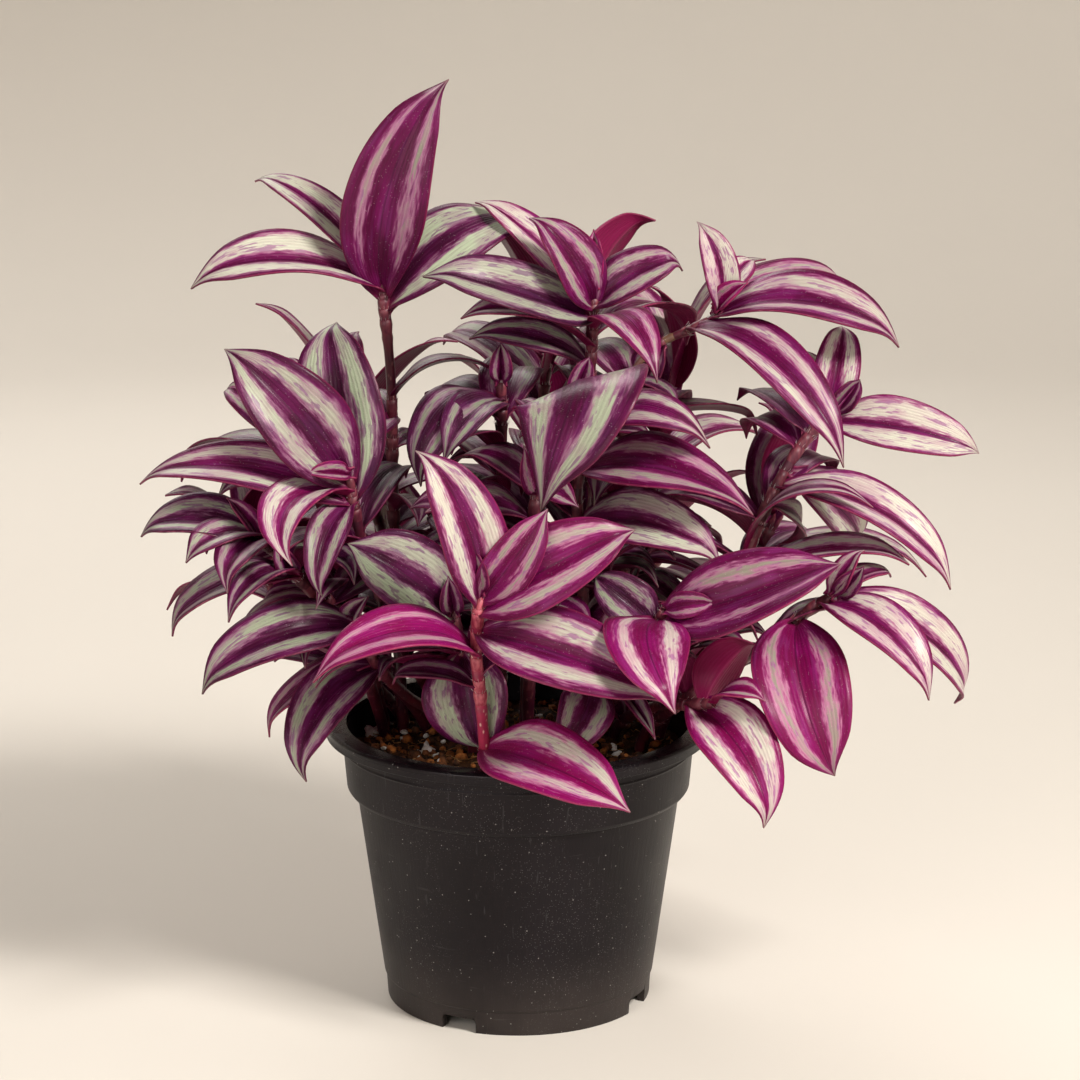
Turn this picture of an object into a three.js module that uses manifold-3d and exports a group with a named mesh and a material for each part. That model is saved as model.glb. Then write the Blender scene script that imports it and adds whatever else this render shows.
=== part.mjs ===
// A tradescantia, the trailing house plant with striped silver and purple leaves,
// growing in a plain 12 cm nursery pot.
//
// Millimetres, +Z up. The origin is the centre of the pot's underside, on the surface it
// stands on, and -Y is the side that faces the viewer. The pieces are the moulded pot, the
// body of potting soil with its crumbs and grains of perlite, and the leafy stems. Each stem
// grew in one piece with its leaves, so it is one solid, standing in its own hole in the soil.

import * as THREE from "three";
import { mergeVertices } from "three/addons/utils/BufferGeometryUtils.js";
import Module from "manifold-3d";

const wasm = await Module();
wasm.setup();

// Pot, as radii and heights above the surface it stands on.
const POT_SIDES = 36;
const WALL = 1.4;
const LIP_RADIUS = 60;
const LIP_TOP = 89;
const LIP_UNDERSIDE = 85.4;
const BAND_TOP_RADIUS = 55;
const BAND_BOTTOM_RADIUS = 53.6;
const BAND_BOTTOM = 68;
const BODY_TOP_RADIUS = 50.6;
const BODY_TOP = 67.2;
const STEP_HEIGHT = 8;
const STEP_DEPTH = 0.5;
const FOOT_RADIUS = 41.5;
const FOOT_WIDTH = 2.2;
const FLOOR_UNDERSIDE = 5;
const FLOOR_THICKNESS = 1.6;
const PAD_RADIUS = 12;
const NOTCH_COUNT = 4;
const NOTCH_TURN = -116; // degrees, the notch seen left of the front
const NOTCH_WIDTH = 11.5;
const NOTCH_HEIGHT = 4.6;
const DRAIN_COUNT = 6;
const DRAIN_RADIUS = 3.5;
const DRAIN_CIRCLE = 27;

// Soil.
const CLEARANCE = 0.3; // between pieces that touch
const SOIL_LEVEL = 79;
const SOIL_SIDES = 26;
const SOIL_RINGS = 6;
const CRUMB_COUNT = 30;
const CRUMB_RADIUS = [1.2, 3];
const PERLITE_COUNT = 18;
const PERLITE_RADIUS = [1.2, 2.1];

// Stems and leaves.
const STEM_RADIUS = 1.7;
const STEM_SIDES = 5;
const HOLE_CLEARANCE = 0.5; // the flats of a stem and its hole are then 0.4 apart
const ROOT_OFFSET = 1; // from the stem's middle to the root of a blade, inside the stem
const LEAF_STEP = 11; // length of one run of a blade between two sections
const MOST_LEAF_STEPS = 6;
const LEAF_THICKNESS = 1.3; // at the midrib near the base, thinning towards the tip
const TIP_HALF_WIDTH = 0.35;

const POT_FINISH = { color: 0x2a2b2d, roughness: 0.62, metalness: 0 };
const SOIL_FINISH = { color: 0x3a2417, roughness: 0.95, metalness: 0 };
const PLANT_FINISH = { color: 0x7d2f66, roughness: 0.45, metalness: 0 };

// The stems seen from the front. "path" is the stem's middle line, from its buried end to
// its growing tip. Each row of "leaves" is one leaf: how far up the stem it grows (1 is the
// growing tip), the x, y, z of its tip, how high it arches, its breadth, the x, y, z of the
// way its upper side looks, and how far it bends sideways. "lowerCount" more leaves grow
// from the lower nodes, the first of them in the direction "lowerTurn", in degrees.
const SEEN_STEMS = [
  {
    name: "stem_tall_left",
    path: [[-36, 22, 62], [-37, 21, 82], [-39, 15, 150], [-39, 10, 192], [-41, 5, 222],
      [-41, 4, 229]],
    lowerCount: 3,
    lowerTurn: 0,
    leaves: [
      [0.95, -20, -2, 288, 6, 25, 1, -5, 1, -6],
      [0.98, -82, 22, 256, 8, 13, -1, -2, 4, 0],
      [0.96, -99, -12, 227, 9, 21, 0, -2, 4, 0],
      [1.0, -43, 3, 247, 1, 6, 0, -1, 0, 0],
      [0.93, 3, 28, 240, 15, 24, -1, -2, 5, 0],
      [0.91, -12, 58, 226, 8, 20, 0, 0, 1, 0],
    ],
  },
  {
    name: "stem_top_centre",
    path: [[16, 14, 62], [17, 14, 82], [21, 13, 150], [22, 10, 190], [23, 5, 216], [23, 4, 224]],
    lowerCount: 3,
    lowerTurn: 320,
    leaves: [
      [0.94, -28, -18, 233, 4, 21, 1, -5, 6, -4],
      [0.97, -13, 16, 250, 4, 13, 2, -4, 2, 0],
      [0.96, 4, -4, 248, 5, 17, 2, -4, 1, 0],
      [0.98, 41, 26, 244, 4, 17, -1, 3, 2, 0],
      [1.0, 23, 3, 242, 1, 6, 0, -1, 0, 0],
      [0.96, 51, 4, 233, 4, 17, -1, -3, 3, 0],
      [0.88, -17, -12, 218, 5, 14, 0, -1, 4, 0],
      [0.92, 42, -30, 201, 11, 16, 0, -1, 4, 0],
      [0.9, 56, 42, 202, 9, 20, 0, 0, 1, 0],
      [0.84, -15, -6, 211, 5, 14, 1, -2, 3, 0],
    ],
  },
  {
    name: "stem_top_right",
    path: [[34, 22, 62], [34, 21, 82], [33, 18, 150], [34, 15, 190], [42, 12, 204], [52, 9, 210],
      [60, 8, 214], [62, 8, 217]],
    lowerCount: 3,
    lowerTurn: 120,
    leaves: [
      [0.99, 54, 6, 244, 3, 11, 1, -4, 1, 3],
      [0.99, 73, 22, 230, 3, 11, -1, -2, 2, 0],
      [1.0, 70, 2, 226, 1, 7, -1, -2, 1, 0],
      [0.98, 106, 40, 218, 6, 20, 0, -1, 4, 0],
      [0.97, 117, -6, 208, 10, 22, 0, -2, 4, 0],
      [0.93, 98, -34, 176, 10, 22, 0, -2, 4, 0],
      [0.88, 41, 24, 188, 3, 13, 0, -2, 2, 0],
    ],
  },
  {
    name: "stem_far_right",
    path: [[42, 13, 62], [45, 12, 82], [53, 2, 102], [65, -9, 128], [74, -13, 156], [83, -9, 173],
      [91, -6, 183], [96, -5, 187]],
    lowerCount: 2,
    lowerTurn: 50,
    leaves: [
      [0.98, 100, 10, 212, 4, 14, 0, -4, 1, 0],
      [0.97, 141, -14, 176, 4, 18, 0, -3, 3, 0],
      [0.8, 131, -30, 138, 11, 18, 0, -2, 4, 0],
      [0.62, 106, -36, 166, 12, 11, 0, -1, 4, 0],
      [0.58, 117, -36, 149, 4, 17, 0, -1, 4, 0],
      [0.76, 84, 20, 140, 6, 9, 0, -3, 2, 0],
      [0.84, 106, 20, 140, 6, 18, 0, -3, 2, 0],
      [0.98, 85, 16, 203, 4, 9, 1, -2, 3, 0],
    ],
  },
  {
    name: "stem_low_right",
    path: [[38, 3, 62], [39, 1, 82], [49, -12, 97], [61, -22, 108], [76, -29, 122], [88, -34, 133],
      [95, -36, 138]],
    lowerCount: 1,
    lowerTurn: 0,
    leaves: [
      [0.98, 102, -40, 153, 1, 8, -1, -2, 1, 0],
      [0.95, 122, -60, 112, 9, 18, 0, -2, 4, 0],
      [0.98, 136, -24, 100, 11, 20, 0, -1, 4, 0],
      [0.86, 94, -62, 88, 8, 28, 0, -4, 3, 5],
      [0.98, 113, -30, 143, 3, 9, 0, -1, 3, 0],
    ],
  },
  {
    name: "stem_front_right",
    path: [[22, 12, 62], [23, 10, 82], [32, -18, 104], [40, -44, 126], [43, -55, 138]],
    lowerCount: 1,
    lowerTurn: 10,
    leaves: [
      [0.96, 94, -66, 156, 4, 26, 0, -3, 3, 5],
      [0.95, 46, -92, 118, 8, 30, 0, -2, 3, 0],
      [1.0, 58, -62, 142, 2, 8, 0, -2, 1, 0],
      [0.9, 22, -44, 146, 2, 15, 0, -3, 2, 0],
      [0.5, 41, -49, 97, 2, 6, 0, -2, 2, 0],
    ],
  },
  {
    name: "stem_edge_right",
    path: [[30, 14, 62], [31, 12, 82], [42, -18, 98], [51, -44, 106], [58, -53, 109]],
    leaves: [
      [0.88, 74, -74, 77, 7, 22, 0, -3, 3, -3],
      [0.95, 71, -42, 126, 4, 16, 0, 3, 1, 0],
      [1.0, 72, -66, 114, 3, 10, 0, -1, 3, 0],
    ],
  },
  {
    name: "stem_front",
    path: [[-9, -38, 62], [-9, -40, 82], [-10, -44, 96], [-11, -49, 112], [-12, -55, 126],
      [-11, -60, 140], [-11, -61, 145]],
    leaves: [
      [0.35, 33, -84, 86, 6, 22, 0, -2, 4, 1],
      [0.84, 44, -76, 117, 6, 26, 0, -3, 3, 2],
      [0.92, 35, -64, 165, 5, 21, -1, -3, 3, 0],
      [0.96, 9, -66, 171, 3, 15, 1, -3, 1, 0],
      [0.95, -28, -72, 190, 5, 23, 1, -4, 1, 4],
      [1.0, -13, -62, 155, 1, 5, 0, -1, 0, 0],
      [0.74, -59, -86, 126, 12, 18, 0, -1, 4, 0],
    ],
  },
  {
    name: "stem_inner_left",
    path: [[-14, 0, 62], [-14, -2, 82], [-15, -20, 104], [-17, -32, 120], [-19, -37, 133]],
    lowerCount: 1,
    lowerTurn: 0,
    leaves: [
      [0.97, -50, -46, 156, 4, 25, -1, -3, 3, 0],
      [0.78, -60, -62, 118, 6, 14, 0, -1, 4, 0],
      [0.82, -11, -37, 89, 4, 29, 0, -4, 1, 0],
    ],
  },
  {
    name: "stem_left",
    path: [[-23, 25, 62], [-24, 23, 82], [-38, -4, 118], [-46, -22, 148], [-49, -28, 164],
      [-50, -31, 173]],
    lowerCount: 2,
    lowerTurn: 220,
    leaves: [
      [0.97, -86, -34, 213, 5, 26, 2, -4, 1, 0],
      [0.93, -57, -10, 218, 5, 27, 0, -4, 1, 0],
      [0.95, -66, -66, 154, 6, 17, 0, -2, 4, 9],
      [1.0, -62, -42, 176, 1, 6, 0, -2, 1, 0],
      [0.92, -114, -28, 171, 12, 18, 0, -1, 4, 0],
      [0.93, -58, -50, 140, 4, 12, 0, -4, 1, 4],
    ],
  },
  {
    name: "stem_far_left",
    path: [[-42, 12, 62], [-43, 14, 82], [-54, -6, 122], [-68, -22, 143], [-77, -31, 154]],
    lowerCount: 1,
    lowerTurn: 130,
    leaves: [
      [0.96, -113, -36, 157, 6, 19, 0, -2, 4, 0],
      [1.0, -86, -34, 167, 1, 6, 0, -1, 1, 0],
      [0.97, -97, -52, 152, 5, 14, 0, -1, 4, 0],
      [0.95, -86, -62, 146, 6, 15, 0, -1, 4, 0],
      [0.9, -98, 6, 142, 6, 18, 0, 0, 1, 0],
    ],
  },
  {
    name: "stem_back_left",
    path: [[-41, 19, 62], [-43, 21, 82], [-54, 12, 130], [-62, 5, 160], [-68, 3, 178]],
    lowerCount: 2,
    lowerTurn: 70,
    leaves: [
      [0.98, -92, 14, 192, 4, 14, 0, -2, 2, 0],
      [0.85, -92, -8, 162, 6, 16, 0, -1, 4, 0],
      [0.97, -78, 46, 190, 8, 20, 0, 0, 1, 0],
      [1.0, -70, 8, 204, 3, 12, 1, -3, 1, 0],
      [0.9, -108, 28, 160, 9, 20, 0, 0, 1, 0],
      [0.93, -46, 36, 172, 8, 19, 0, 0, 1, 0],
    ],
  },
  {
    name: "stem_low_left",
    path: [[-29, 20, 62], [-30, 18, 82], [-45, -8, 110], [-60, -27, 134], [-67, -35, 145]],
    leaves: [
      [0.96, -104, -44, 128, 6, 20, 0, -1, 4, 0],
      [0.97, -84, -66, 138, 6, 12, 0, -1, 4, 0],
      [0.85, -85, -20, 115, 6, 17, 0, 0, 1, 0],
    ],
  },
  {
    name: "stem_edge_left",
    path: [[-21, 18, 62], [-22, 16, 82], [-34, -10, 99], [-43, -29, 115], [-48, -34, 131]],
    leaves: [
      [0.95, -95, -50, 112, 8, 22, 0, -2, 3, 0],
      [0.8, -77, -24, 90, 6, 15, 0, -1, 3, 0],
      [0.78, -65, -60, 87, 6, 18, 0, -3, 3, 5],
      [1.0, -44, -42, 139, 2, 7, 0, -2, 1, 0],
    ],
  },
  {
    name: "stem_behind",
    path: [[-6, 6, 62], [-6, 6, 82], [-5, 5, 130], [-5, 2, 174], [-5, 0, 190], [-5, -1, 196]],
    lowerCount: 3,
    lowerTurn: 130,
    leaves: [
      [0.96, -32, -26, 168, 15, 19, 0, -1, 4, 0],
      [0.93, -22, -34, 178, 9, 15, 0, -1, 4, 0],
      [0.9, -30, 18, 186, 7, 18, 0, 0, 1, 0],
      [0.9, 2, 38, 190, 8, 19, 0, 0, 1, 0],
    ],
  },
  {
    name: "stem_centre",
    path: [[3, -2, 62], [3, -4, 82], [4, -18, 130], [5, -24, 160], [10, -25, 182], [17, -22, 195]],
    lowerCount: 2,
    lowerTurn: 140,
    leaves: [
      [0.98, 5, -63, 169, 19, 36, 0, -2, 4, -5],
      [0.78, 2, -38, 183, 2, 10, 0, -2, 1, 0],
      [0.8, 18, -42, 166, 2, 9, 0, -2, 1, 0],
    ],
  },
  {
    name: "stem_centre_right",
    path: [[20, 4, 62], [20, 2, 82], [20, -10, 130], [18, -18, 165], [21, -21, 184]],
    lowerCount: 3,
    lowerTurn: 120,
    leaves: [
      [0.98, 58, -40, 184, 13, 16, 0, -1, 4, 0],
      [0.9, 70, -46, 165, 8, 22, 0, -2, 4, 0],
      [0.76, 62, -46, 151, 7, 18, 0, -2, 4, 0],
      [0.94, 44, 2, 190, 7, 17, 0, 0, 1, 0],
    ],
  },
  {
    name: "stem_low_centre",
    path: [[13, -4, 62], [13, -6, 82], [19, -22, 100], [24, -30, 112], [27, -34, 122]],
    lowerCount: 1,
    lowerTurn: 10,
    leaves: [
      [0.75, 15, -44, 93, 4, 22, 0, -4, 2, 0],
      [1.0, 30, -39, 137, 2, 8, 0, -2, 1, 0],
    ],
  },
];

// The stems round the back and sides. "turn" is the direction of the topmost leaf, in
// degrees, and the leaves below it follow at the golden angle, each lower and flatter.
const BACK_STEMS = [
  {
    name: "stem_back_centre",
    path: [[2, 22, 62], [2, 23, 82], [4, 32, 130], [7, 40, 172], [9, 45, 196]],
    turn: 80,
    count: 6,
    lowerCount: 1,
    lowerTurn: 10,
  },
  {
    name: "stem_back_right",
    path: [[26, 34, 62], [27, 35, 82], [38, 46, 130], [46, 56, 165], [50, 62, 182]],
    turn: 210,
    count: 6,
    lowerCount: 1,
    lowerTurn: 120,
  },
  {
    name: "stem_rear_left",
    path: [[-24, 34, 62], [-25, 35, 82], [-38, 48, 120], [-50, 60, 150], [-56, 68, 166]],
    turn: 60,
    count: 6,
    lowerCount: 1,
    lowerTurn: 0,
  },
  {
    name: "stem_rear_centre",
    path: [[2, 40, 62], [2, 41, 82], [5, 58, 118], [7, 74, 146], [8, 82, 158]],
    turn: 250,
    count: 6,
  },
  {
    name: "stem_side_right",
    path: [[39, 21, 62], [41, 22, 82], [60, 26, 112], [76, 31, 136], [84, 35, 148]],
    turn: 160,
    count: 6,
    lowerCount: 1,
    lowerTurn: 40,
  },
  {
    name: "stem_side_left",
    path: [[-36, 28, 62], [-38, 28, 82], [-58, 22, 104], [-72, 22, 118], [-80, 28, 126]],
    turn: 320,
    count: 5,
  },
  {
    name: "stem_low_back_right",
    path: [[14, 39, 62], [15, 40, 82], [22, 47, 98], [34, 66, 110], [42, 78, 116], [48, 86, 121]],
    turn: 45,
    count: 5,
  },
  {
    name: "stem_low_back_left",
    path: [[-11, 39, 62], [-12, 40, 82], [-18, 48, 98], [-26, 66, 106], [-32, 78, 111],
      [-38, 86, 115]],
    turn: 100,
    count: 5,
  },
];
const GOLDEN_ANGLE = 137.5;
const BACK_LEAF_LENGTH = [50, 60];
const BACK_LEAF_BREADTH = [17, 22];
const BACK_LEAF_RISE = [6, 10];
const TOP_LEAF_SHARE = 0.72;
const TOP_LEAF_STEEPNESS = 72; // degrees above level
const STEEPNESS_LOST = 17; // from each leaf to the next one down
const LOWEST_STEEPNESS = -6;
const BACK_LEAF_DROOP = 0.25; // of the fourth leaf and those under it
const LOWER_LEAF_TOP = 0.76; // how far up the stem the first of the lower leaves grows
const LOWER_LEAF_SPACING = 0.15;
const LOWER_LEAF_LENGTH = [38, 50];
const LOWER_LEAF_BREADTH = [15, 19];
const LOWER_LEAF_RISE = [6, 9];

const radians = (degrees) => (degrees * Math.PI) / 180;
const vector = (xyz) => new THREE.Vector3(...xyz);

// Repeatable draws between two values.
function makeDraw(seed) {
  let state = seed;
  return ([low, high]) => {
    state = (state * 16807) % 2147483647;
    return low + ((high - low) * state) / 2147483647;
  };
}

// ---- solids ----

function geometryOf(points, faces) {
  const geometry = new THREE.BufferGeometry();
  const flat = points.flatMap((point) => [point.x, point.y, point.z]);
  geometry.setAttribute("position", new THREE.Float32BufferAttribute(flat, 3));
  geometry.setIndex(faces.flat());
  return geometry;
}

function solidOf(geometry) {
  const bare = geometry.index ? geometry.clone() : geometry;
  bare.deleteAttribute("normal");
  bare.deleteAttribute("uv");
  const merged = mergeVertices(bare, 1e-4);
  const mesh = new wasm.Mesh({
    numProp: 3,
    vertProperties: new Float32Array(merged.attributes.position.array),
    triVerts: new Uint32Array(merged.index.array),
  });
  return new wasm.Manifold(mesh);
}

// Fused pieces can seal a small hollow between them: only the outer skin is kept.
function outerBody(solid) {
  const bodies = solid.decompose();
  return bodies.reduce((best, body) => (body.volume() > best.volume() ? body : best));
}

function meshOf(name, solid, finish) {
  const cut = solid.getMesh();
  const geometry = new THREE.BufferGeometry();
  geometry.setAttribute("position", new THREE.BufferAttribute(cut.vertProperties, 3));
  geometry.setIndex(new THREE.BufferAttribute(cut.triVerts, 1));
  geometry.computeVertexNormals();
  const mesh = new THREE.Mesh(geometry, new THREE.MeshStandardMaterial(finish));
  mesh.name = name;
  return mesh;
}

// ---- pot ----

// Half of the pot's section, from the middle of its underside round to the middle of its
// floor. The outer face has the foot, the fine step, the plain taper, the collar band and
// the lip. The inner face follows it one wall thickness inside.
function potSection() {
  const floorTop = FLOOR_UNDERSIDE + FLOOR_THICKNESS;
  return [
    [0, 0],
    [PAD_RADIUS, 0],
    [PAD_RADIUS + 1, FLOOR_UNDERSIDE],
    [FOOT_RADIUS - FOOT_WIDTH, FLOOR_UNDERSIDE],
    [FOOT_RADIUS - FOOT_WIDTH, 0],
    [FOOT_RADIUS, 0],
    [FOOT_RADIUS + 0.5, STEP_HEIGHT - 0.5],
    [FOOT_RADIUS + 0.5 + STEP_DEPTH, STEP_HEIGHT],
    [BODY_TOP_RADIUS, BODY_TOP],
    [BAND_BOTTOM_RADIUS - 0.9, BODY_TOP + 0.3],
    [BAND_BOTTOM_RADIUS, BAND_BOTTOM + 0.8],
    [BAND_TOP_RADIUS, LIP_UNDERSIDE],
    [LIP_RADIUS, LIP_UNDERSIDE],
    [LIP_RADIUS, LIP_TOP - 0.7],
    [LIP_RADIUS - 0.8, LIP_TOP],
    [BAND_TOP_RADIUS - WALL, LIP_TOP],
    ...innerSection(0),
    [0, floorTop],
  ];
}

// The inner wall from the band down to the floor, drawn in by "inset".
function innerSection(inset) {
  const floorTop = FLOOR_UNDERSIDE + FLOOR_THICKNESS;
  return [
    [BAND_BOTTOM_RADIUS - WALL + 0.2 - inset, BAND_BOTTOM + 2],
    [BODY_TOP_RADIUS - WALL - inset, BODY_TOP - 1.5],
    [FOOT_RADIUS - 0.2 - inset, STEP_HEIGHT + 1.5],
    [FOOT_RADIUS - 2 - inset, floorTop + inset],
  ];
}

function makePot() {
  const section = potSection().map(([radius, height]) => new THREE.Vector2(radius, height));
  const lathe = new THREE.LatheGeometry(section, POT_SIDES);
  lathe.rotateX(Math.PI / 2);
  let pot = solidOf(lathe);
  for (let i = 0; i < NOTCH_COUNT; i += 1) {
    const notch = new THREE.BoxGeometry(10, NOTCH_WIDTH, 2 * NOTCH_HEIGHT);
    notch.translate(FOOT_RADIUS, 0, 0);
    notch.rotateZ(radians(NOTCH_TURN + (i * 360) / NOTCH_COUNT));
    pot = pot.subtract(solidOf(notch));
  }
  for (let i = 0; i < DRAIN_COUNT; i += 1) {
    const drain = new THREE.CylinderGeometry(DRAIN_RADIUS, DRAIN_RADIUS, 8, 10);
    drain.rotateX(Math.PI / 2);
    drain.translate(DRAIN_CIRCLE, 0, FLOOR_UNDERSIDE);
    drain.rotateZ(radians((i * 360) / DRAIN_COUNT));
    pot = pot.subtract(solidOf(drain));
  }
  return pot;
}

// ---- stems ----

// The point at a share of the way along a line of points.
function pointAlong(points, share) {
  const lengths = [0];
  for (let i = 1; i < points.length; i += 1) {
    lengths.push(lengths[i - 1] + points[i].distanceTo(points[i - 1]));
  }
  const wanted = share * lengths[lengths.length - 1];
  let i = 0;
  while (i < points.length - 2 && lengths[i + 1] < wanted) {
    i += 1;
  }
  const part = (wanted - lengths[i]) / (lengths[i + 1] - lengths[i]);
  return points[i].clone().lerp(points[i + 1], Math.min(Math.max(part, 0), 1));
}

// A round bar along a line of points, closed at both ends.
function makeBar(points, radius) {
  const last = points.length - 1;
  const corners = [];
  points.forEach((point, i) => {
    const along = points[Math.min(i + 1, last)].clone().sub(points[Math.max(i - 1, 0)]);
    along.normalize();
    const across = new THREE.Vector3(0, 1, 0.01).cross(along).normalize();
    const away = along.clone().cross(across);
    for (let k = 0; k < STEM_SIDES; k += 1) {
      const angle = (2 * Math.PI * k) / STEM_SIDES;
      const corner = point.clone().addScaledVector(across, radius * Math.cos(angle));
      corners.push(corner.addScaledVector(away, radius * Math.sin(angle)));
    }
  });
  const faces = [];
  for (let i = 0; i < last; i += 1) {
    for (let k = 0; k < STEM_SIDES; k += 1) {
      const a = i * STEM_SIDES + k;
      const b = i * STEM_SIDES + ((k + 1) % STEM_SIDES);
      faces.push([a, b, b + STEM_SIDES], [a, b + STEM_SIDES, a + STEM_SIDES]);
    }
  }
  const end = last * STEM_SIDES;
  for (let k = 1; k < STEM_SIDES - 1; k += 1) {
    faces.push([0, k + 1, k], [end, end + k, end + k + 1]);
  }
  return solidOf(geometryOf(corners, faces));
}

// ---- leaves ----

// Half the blade's breadth along it, as a share: narrow where it leaves the stem, broadest
// about a third of the way up, then drawn out to the point.
function breadthShare(t) {
  const broadest = 0.36;
  if (t < broadest) {
    return 1 - 0.9 * ((broadest - t) / broadest) ** 2;
  }
  const u = (t - broadest) / (1 - broadest);
  return (1 - u) * (1 + 0.9 * u);
}

// How far each edge stands above the midrib, as a share of half the breadth there.
const keelShare = (t) => 0.42 - 0.22 * t;

// A blade is a run of four-cornered sections: the two edges, and the midrib's top and
// underside. Both faces are split the same way, so a thin twisted blade keeps them apart.
function makeLeaf(node, [, tipX, tipY, tipZ, rise, breadth, faceX, faceY, faceZ, sway]) {
  const tip = new THREE.Vector3(tipX, tipY, tipZ);
  const along = tip.clone().sub(node).normalize();
  const base = node.clone().addScaledVector(along, ROOT_OFFSET);
  const chord = tip.clone().sub(base);
  const steps = Math.min(Math.max(Math.round(chord.length() / LEAF_STEP), 3), MOST_LEAF_STEPS);
  const face = new THREE.Vector3(faceX, faceY, faceZ);
  const up = face.addScaledVector(along, -face.dot(along)).normalize();
  const side = along.clone().cross(up);
  const bend = (share, lift) =>
    base.clone().addScaledVector(chord, share).addScaledVector(up, rise * lift)
      .addScaledVector(side, sway * 1.33);
  const curve = new THREE.CubicBezierCurve3(base, bend(0.3, 1.55), bend(0.7, 1.1), tip);
  const corners = [];
  for (let i = 0; i <= steps; i += 1) {
    const t = i / steps;
    const middle = curve.getPoint(t);
    const forward = curve.getTangent(t);
    const top = side.clone().cross(forward).normalize();
    const across = forward.clone().cross(top);
    const half = Math.max((breadth / 2) * breadthShare(t), TIP_HALF_WIDTH);
    const keel = keelShare(t) * half;
    const thick = (LEAF_THICKNESS / 2) * (1 - 0.45 * t);
    corners.push(
      middle.clone().addScaledVector(across, -half).addScaledVector(top, keel),
      middle.clone().addScaledVector(top, thick),
      middle.clone().addScaledVector(across, half).addScaledVector(top, keel),
      middle.clone().addScaledVector(top, -thick),
    );
  }
  const faces = [];
  for (let i = 0; i < steps; i += 1) {
    const [left, upper, right, under] = [4 * i, 4 * i + 1, 4 * i + 2, 4 * i + 3];
    faces.push([left, upper, upper + 4], [left, upper + 4, left + 4]);
    faces.push([right, upper + 4, upper], [right, right + 4, upper + 4]);
    faces.push([left, under + 4, under], [left, left + 4, under + 4]);
    faces.push([right, under, under + 4], [right, under + 4, right + 4]);
  }
  const end = 4 * steps;
  faces.push([0, 3, 1], [1, 3, 2], [end, end + 1, end + 3], [end + 1, end + 2, end + 3]);
  return solidOf(geometryOf(corners, faces));
}

// The leaves of a stem at the back, in the same rows as the listed ones.
function backLeaves(stem, index) {
  const draw = makeDraw(1000 + index * 37);
  const points = stem.path.map(vector);
  const tip = points[points.length - 1];
  const lean = tip.clone().sub(points[points.length - 2]).normalize();
  const rows = [];
  for (let k = 0; k < stem.count; k += 1) {
    const turn = radians(stem.turn + GOLDEN_ANGLE * k);
    const steep = radians(Math.max(TOP_LEAF_STEEPNESS - STEEPNESS_LOST * k, LOWEST_STEEPNESS));
    const length = draw(BACK_LEAF_LENGTH) * (k === 0 ? TOP_LEAF_SHARE : 1);
    const place = 1 - 0.012 * k * (k + 1);
    const flat = Math.cos(steep);
    const climb = Math.sin(steep) - (k > 2 ? BACK_LEAF_DROOP : 0);
    const way = new THREE.Vector3(Math.cos(turn) * flat, Math.sin(turn) * flat, climb);
    way.addScaledVector(lean, 0.25).normalize();
    const end = pointAlong(points, place).addScaledVector(way, length);
    const face = k === 0 ? [-4 * Math.cos(turn), -4 * Math.sin(turn), 1] : [0, 0, 1];
    const rise = draw(BACK_LEAF_RISE) * flat;
    rows.push([place, end.x, end.y, end.z, rise, draw(BACK_LEAF_BREADTH), ...face, 0]);
  }
  return rows;
}

// The leaves of a stem's lower nodes, in the same rows: each lower one droops more.
function lowerLeaves(stem, index) {
  const draw = makeDraw(500 + index * 41);
  const points = stem.path.map(vector);
  const rows = [];
  for (let k = 0; k < (stem.lowerCount ?? 0); k += 1) {
    const turn = radians(stem.lowerTurn + GOLDEN_ANGLE * k);
    const place = LOWER_LEAF_TOP - LOWER_LEAF_SPACING * k;
    const length = draw(LOWER_LEAF_LENGTH);
    const way = new THREE.Vector3(0.96 * Math.cos(turn), 0.96 * Math.sin(turn), 0.1 - 0.12 * k);
    const end = pointAlong(points, place).addScaledVector(way, length);
    const rise = draw(LOWER_LEAF_RISE);
    rows.push([place, end.x, end.y, end.z, rise, draw(LOWER_LEAF_BREADTH), 0, 0, 1, 0]);
  }
  return rows;
}

// One leafy stem: the bar and its blades, whose bases reach the stem's middle, fused.
function makeStem(stem) {
  const points = stem.path.map(vector);
  const bar = makeBar(points, STEM_RADIUS);
  const blades = stem.leaves.map((row) => makeLeaf(pointAlong(points, row[0]), row));
  return outerBody(wasm.Manifold.union([bar, ...blades]));
}

// The hole that a stem stands in, open at the soil's surface.
function stemHole(stem) {
  const [end, above] = stem.path.slice(0, 2).map(vector);
  const along = above.clone().sub(end).normalize();
  end.addScaledVector(along, -CLEARANCE);
  above.addScaledVector(along, 2);
  return makeBar([end, above], STEM_RADIUS + HOLE_CLEARANCE);
}

// ---- soil ----

// The height of the soil's surface: gently heaped and lumpy, level where it meets the pot.
function soilHeight(x, y) {
  const broad = 1.3 * Math.sin(x * 0.11 + 1) * Math.cos(y * 0.13);
  const fine = 0.7 * Math.sin(x * 0.41 + y * 0.23) * Math.cos(y * 0.37 - x * 0.19);
  return SOIL_LEVEL + broad + fine;
}

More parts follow.
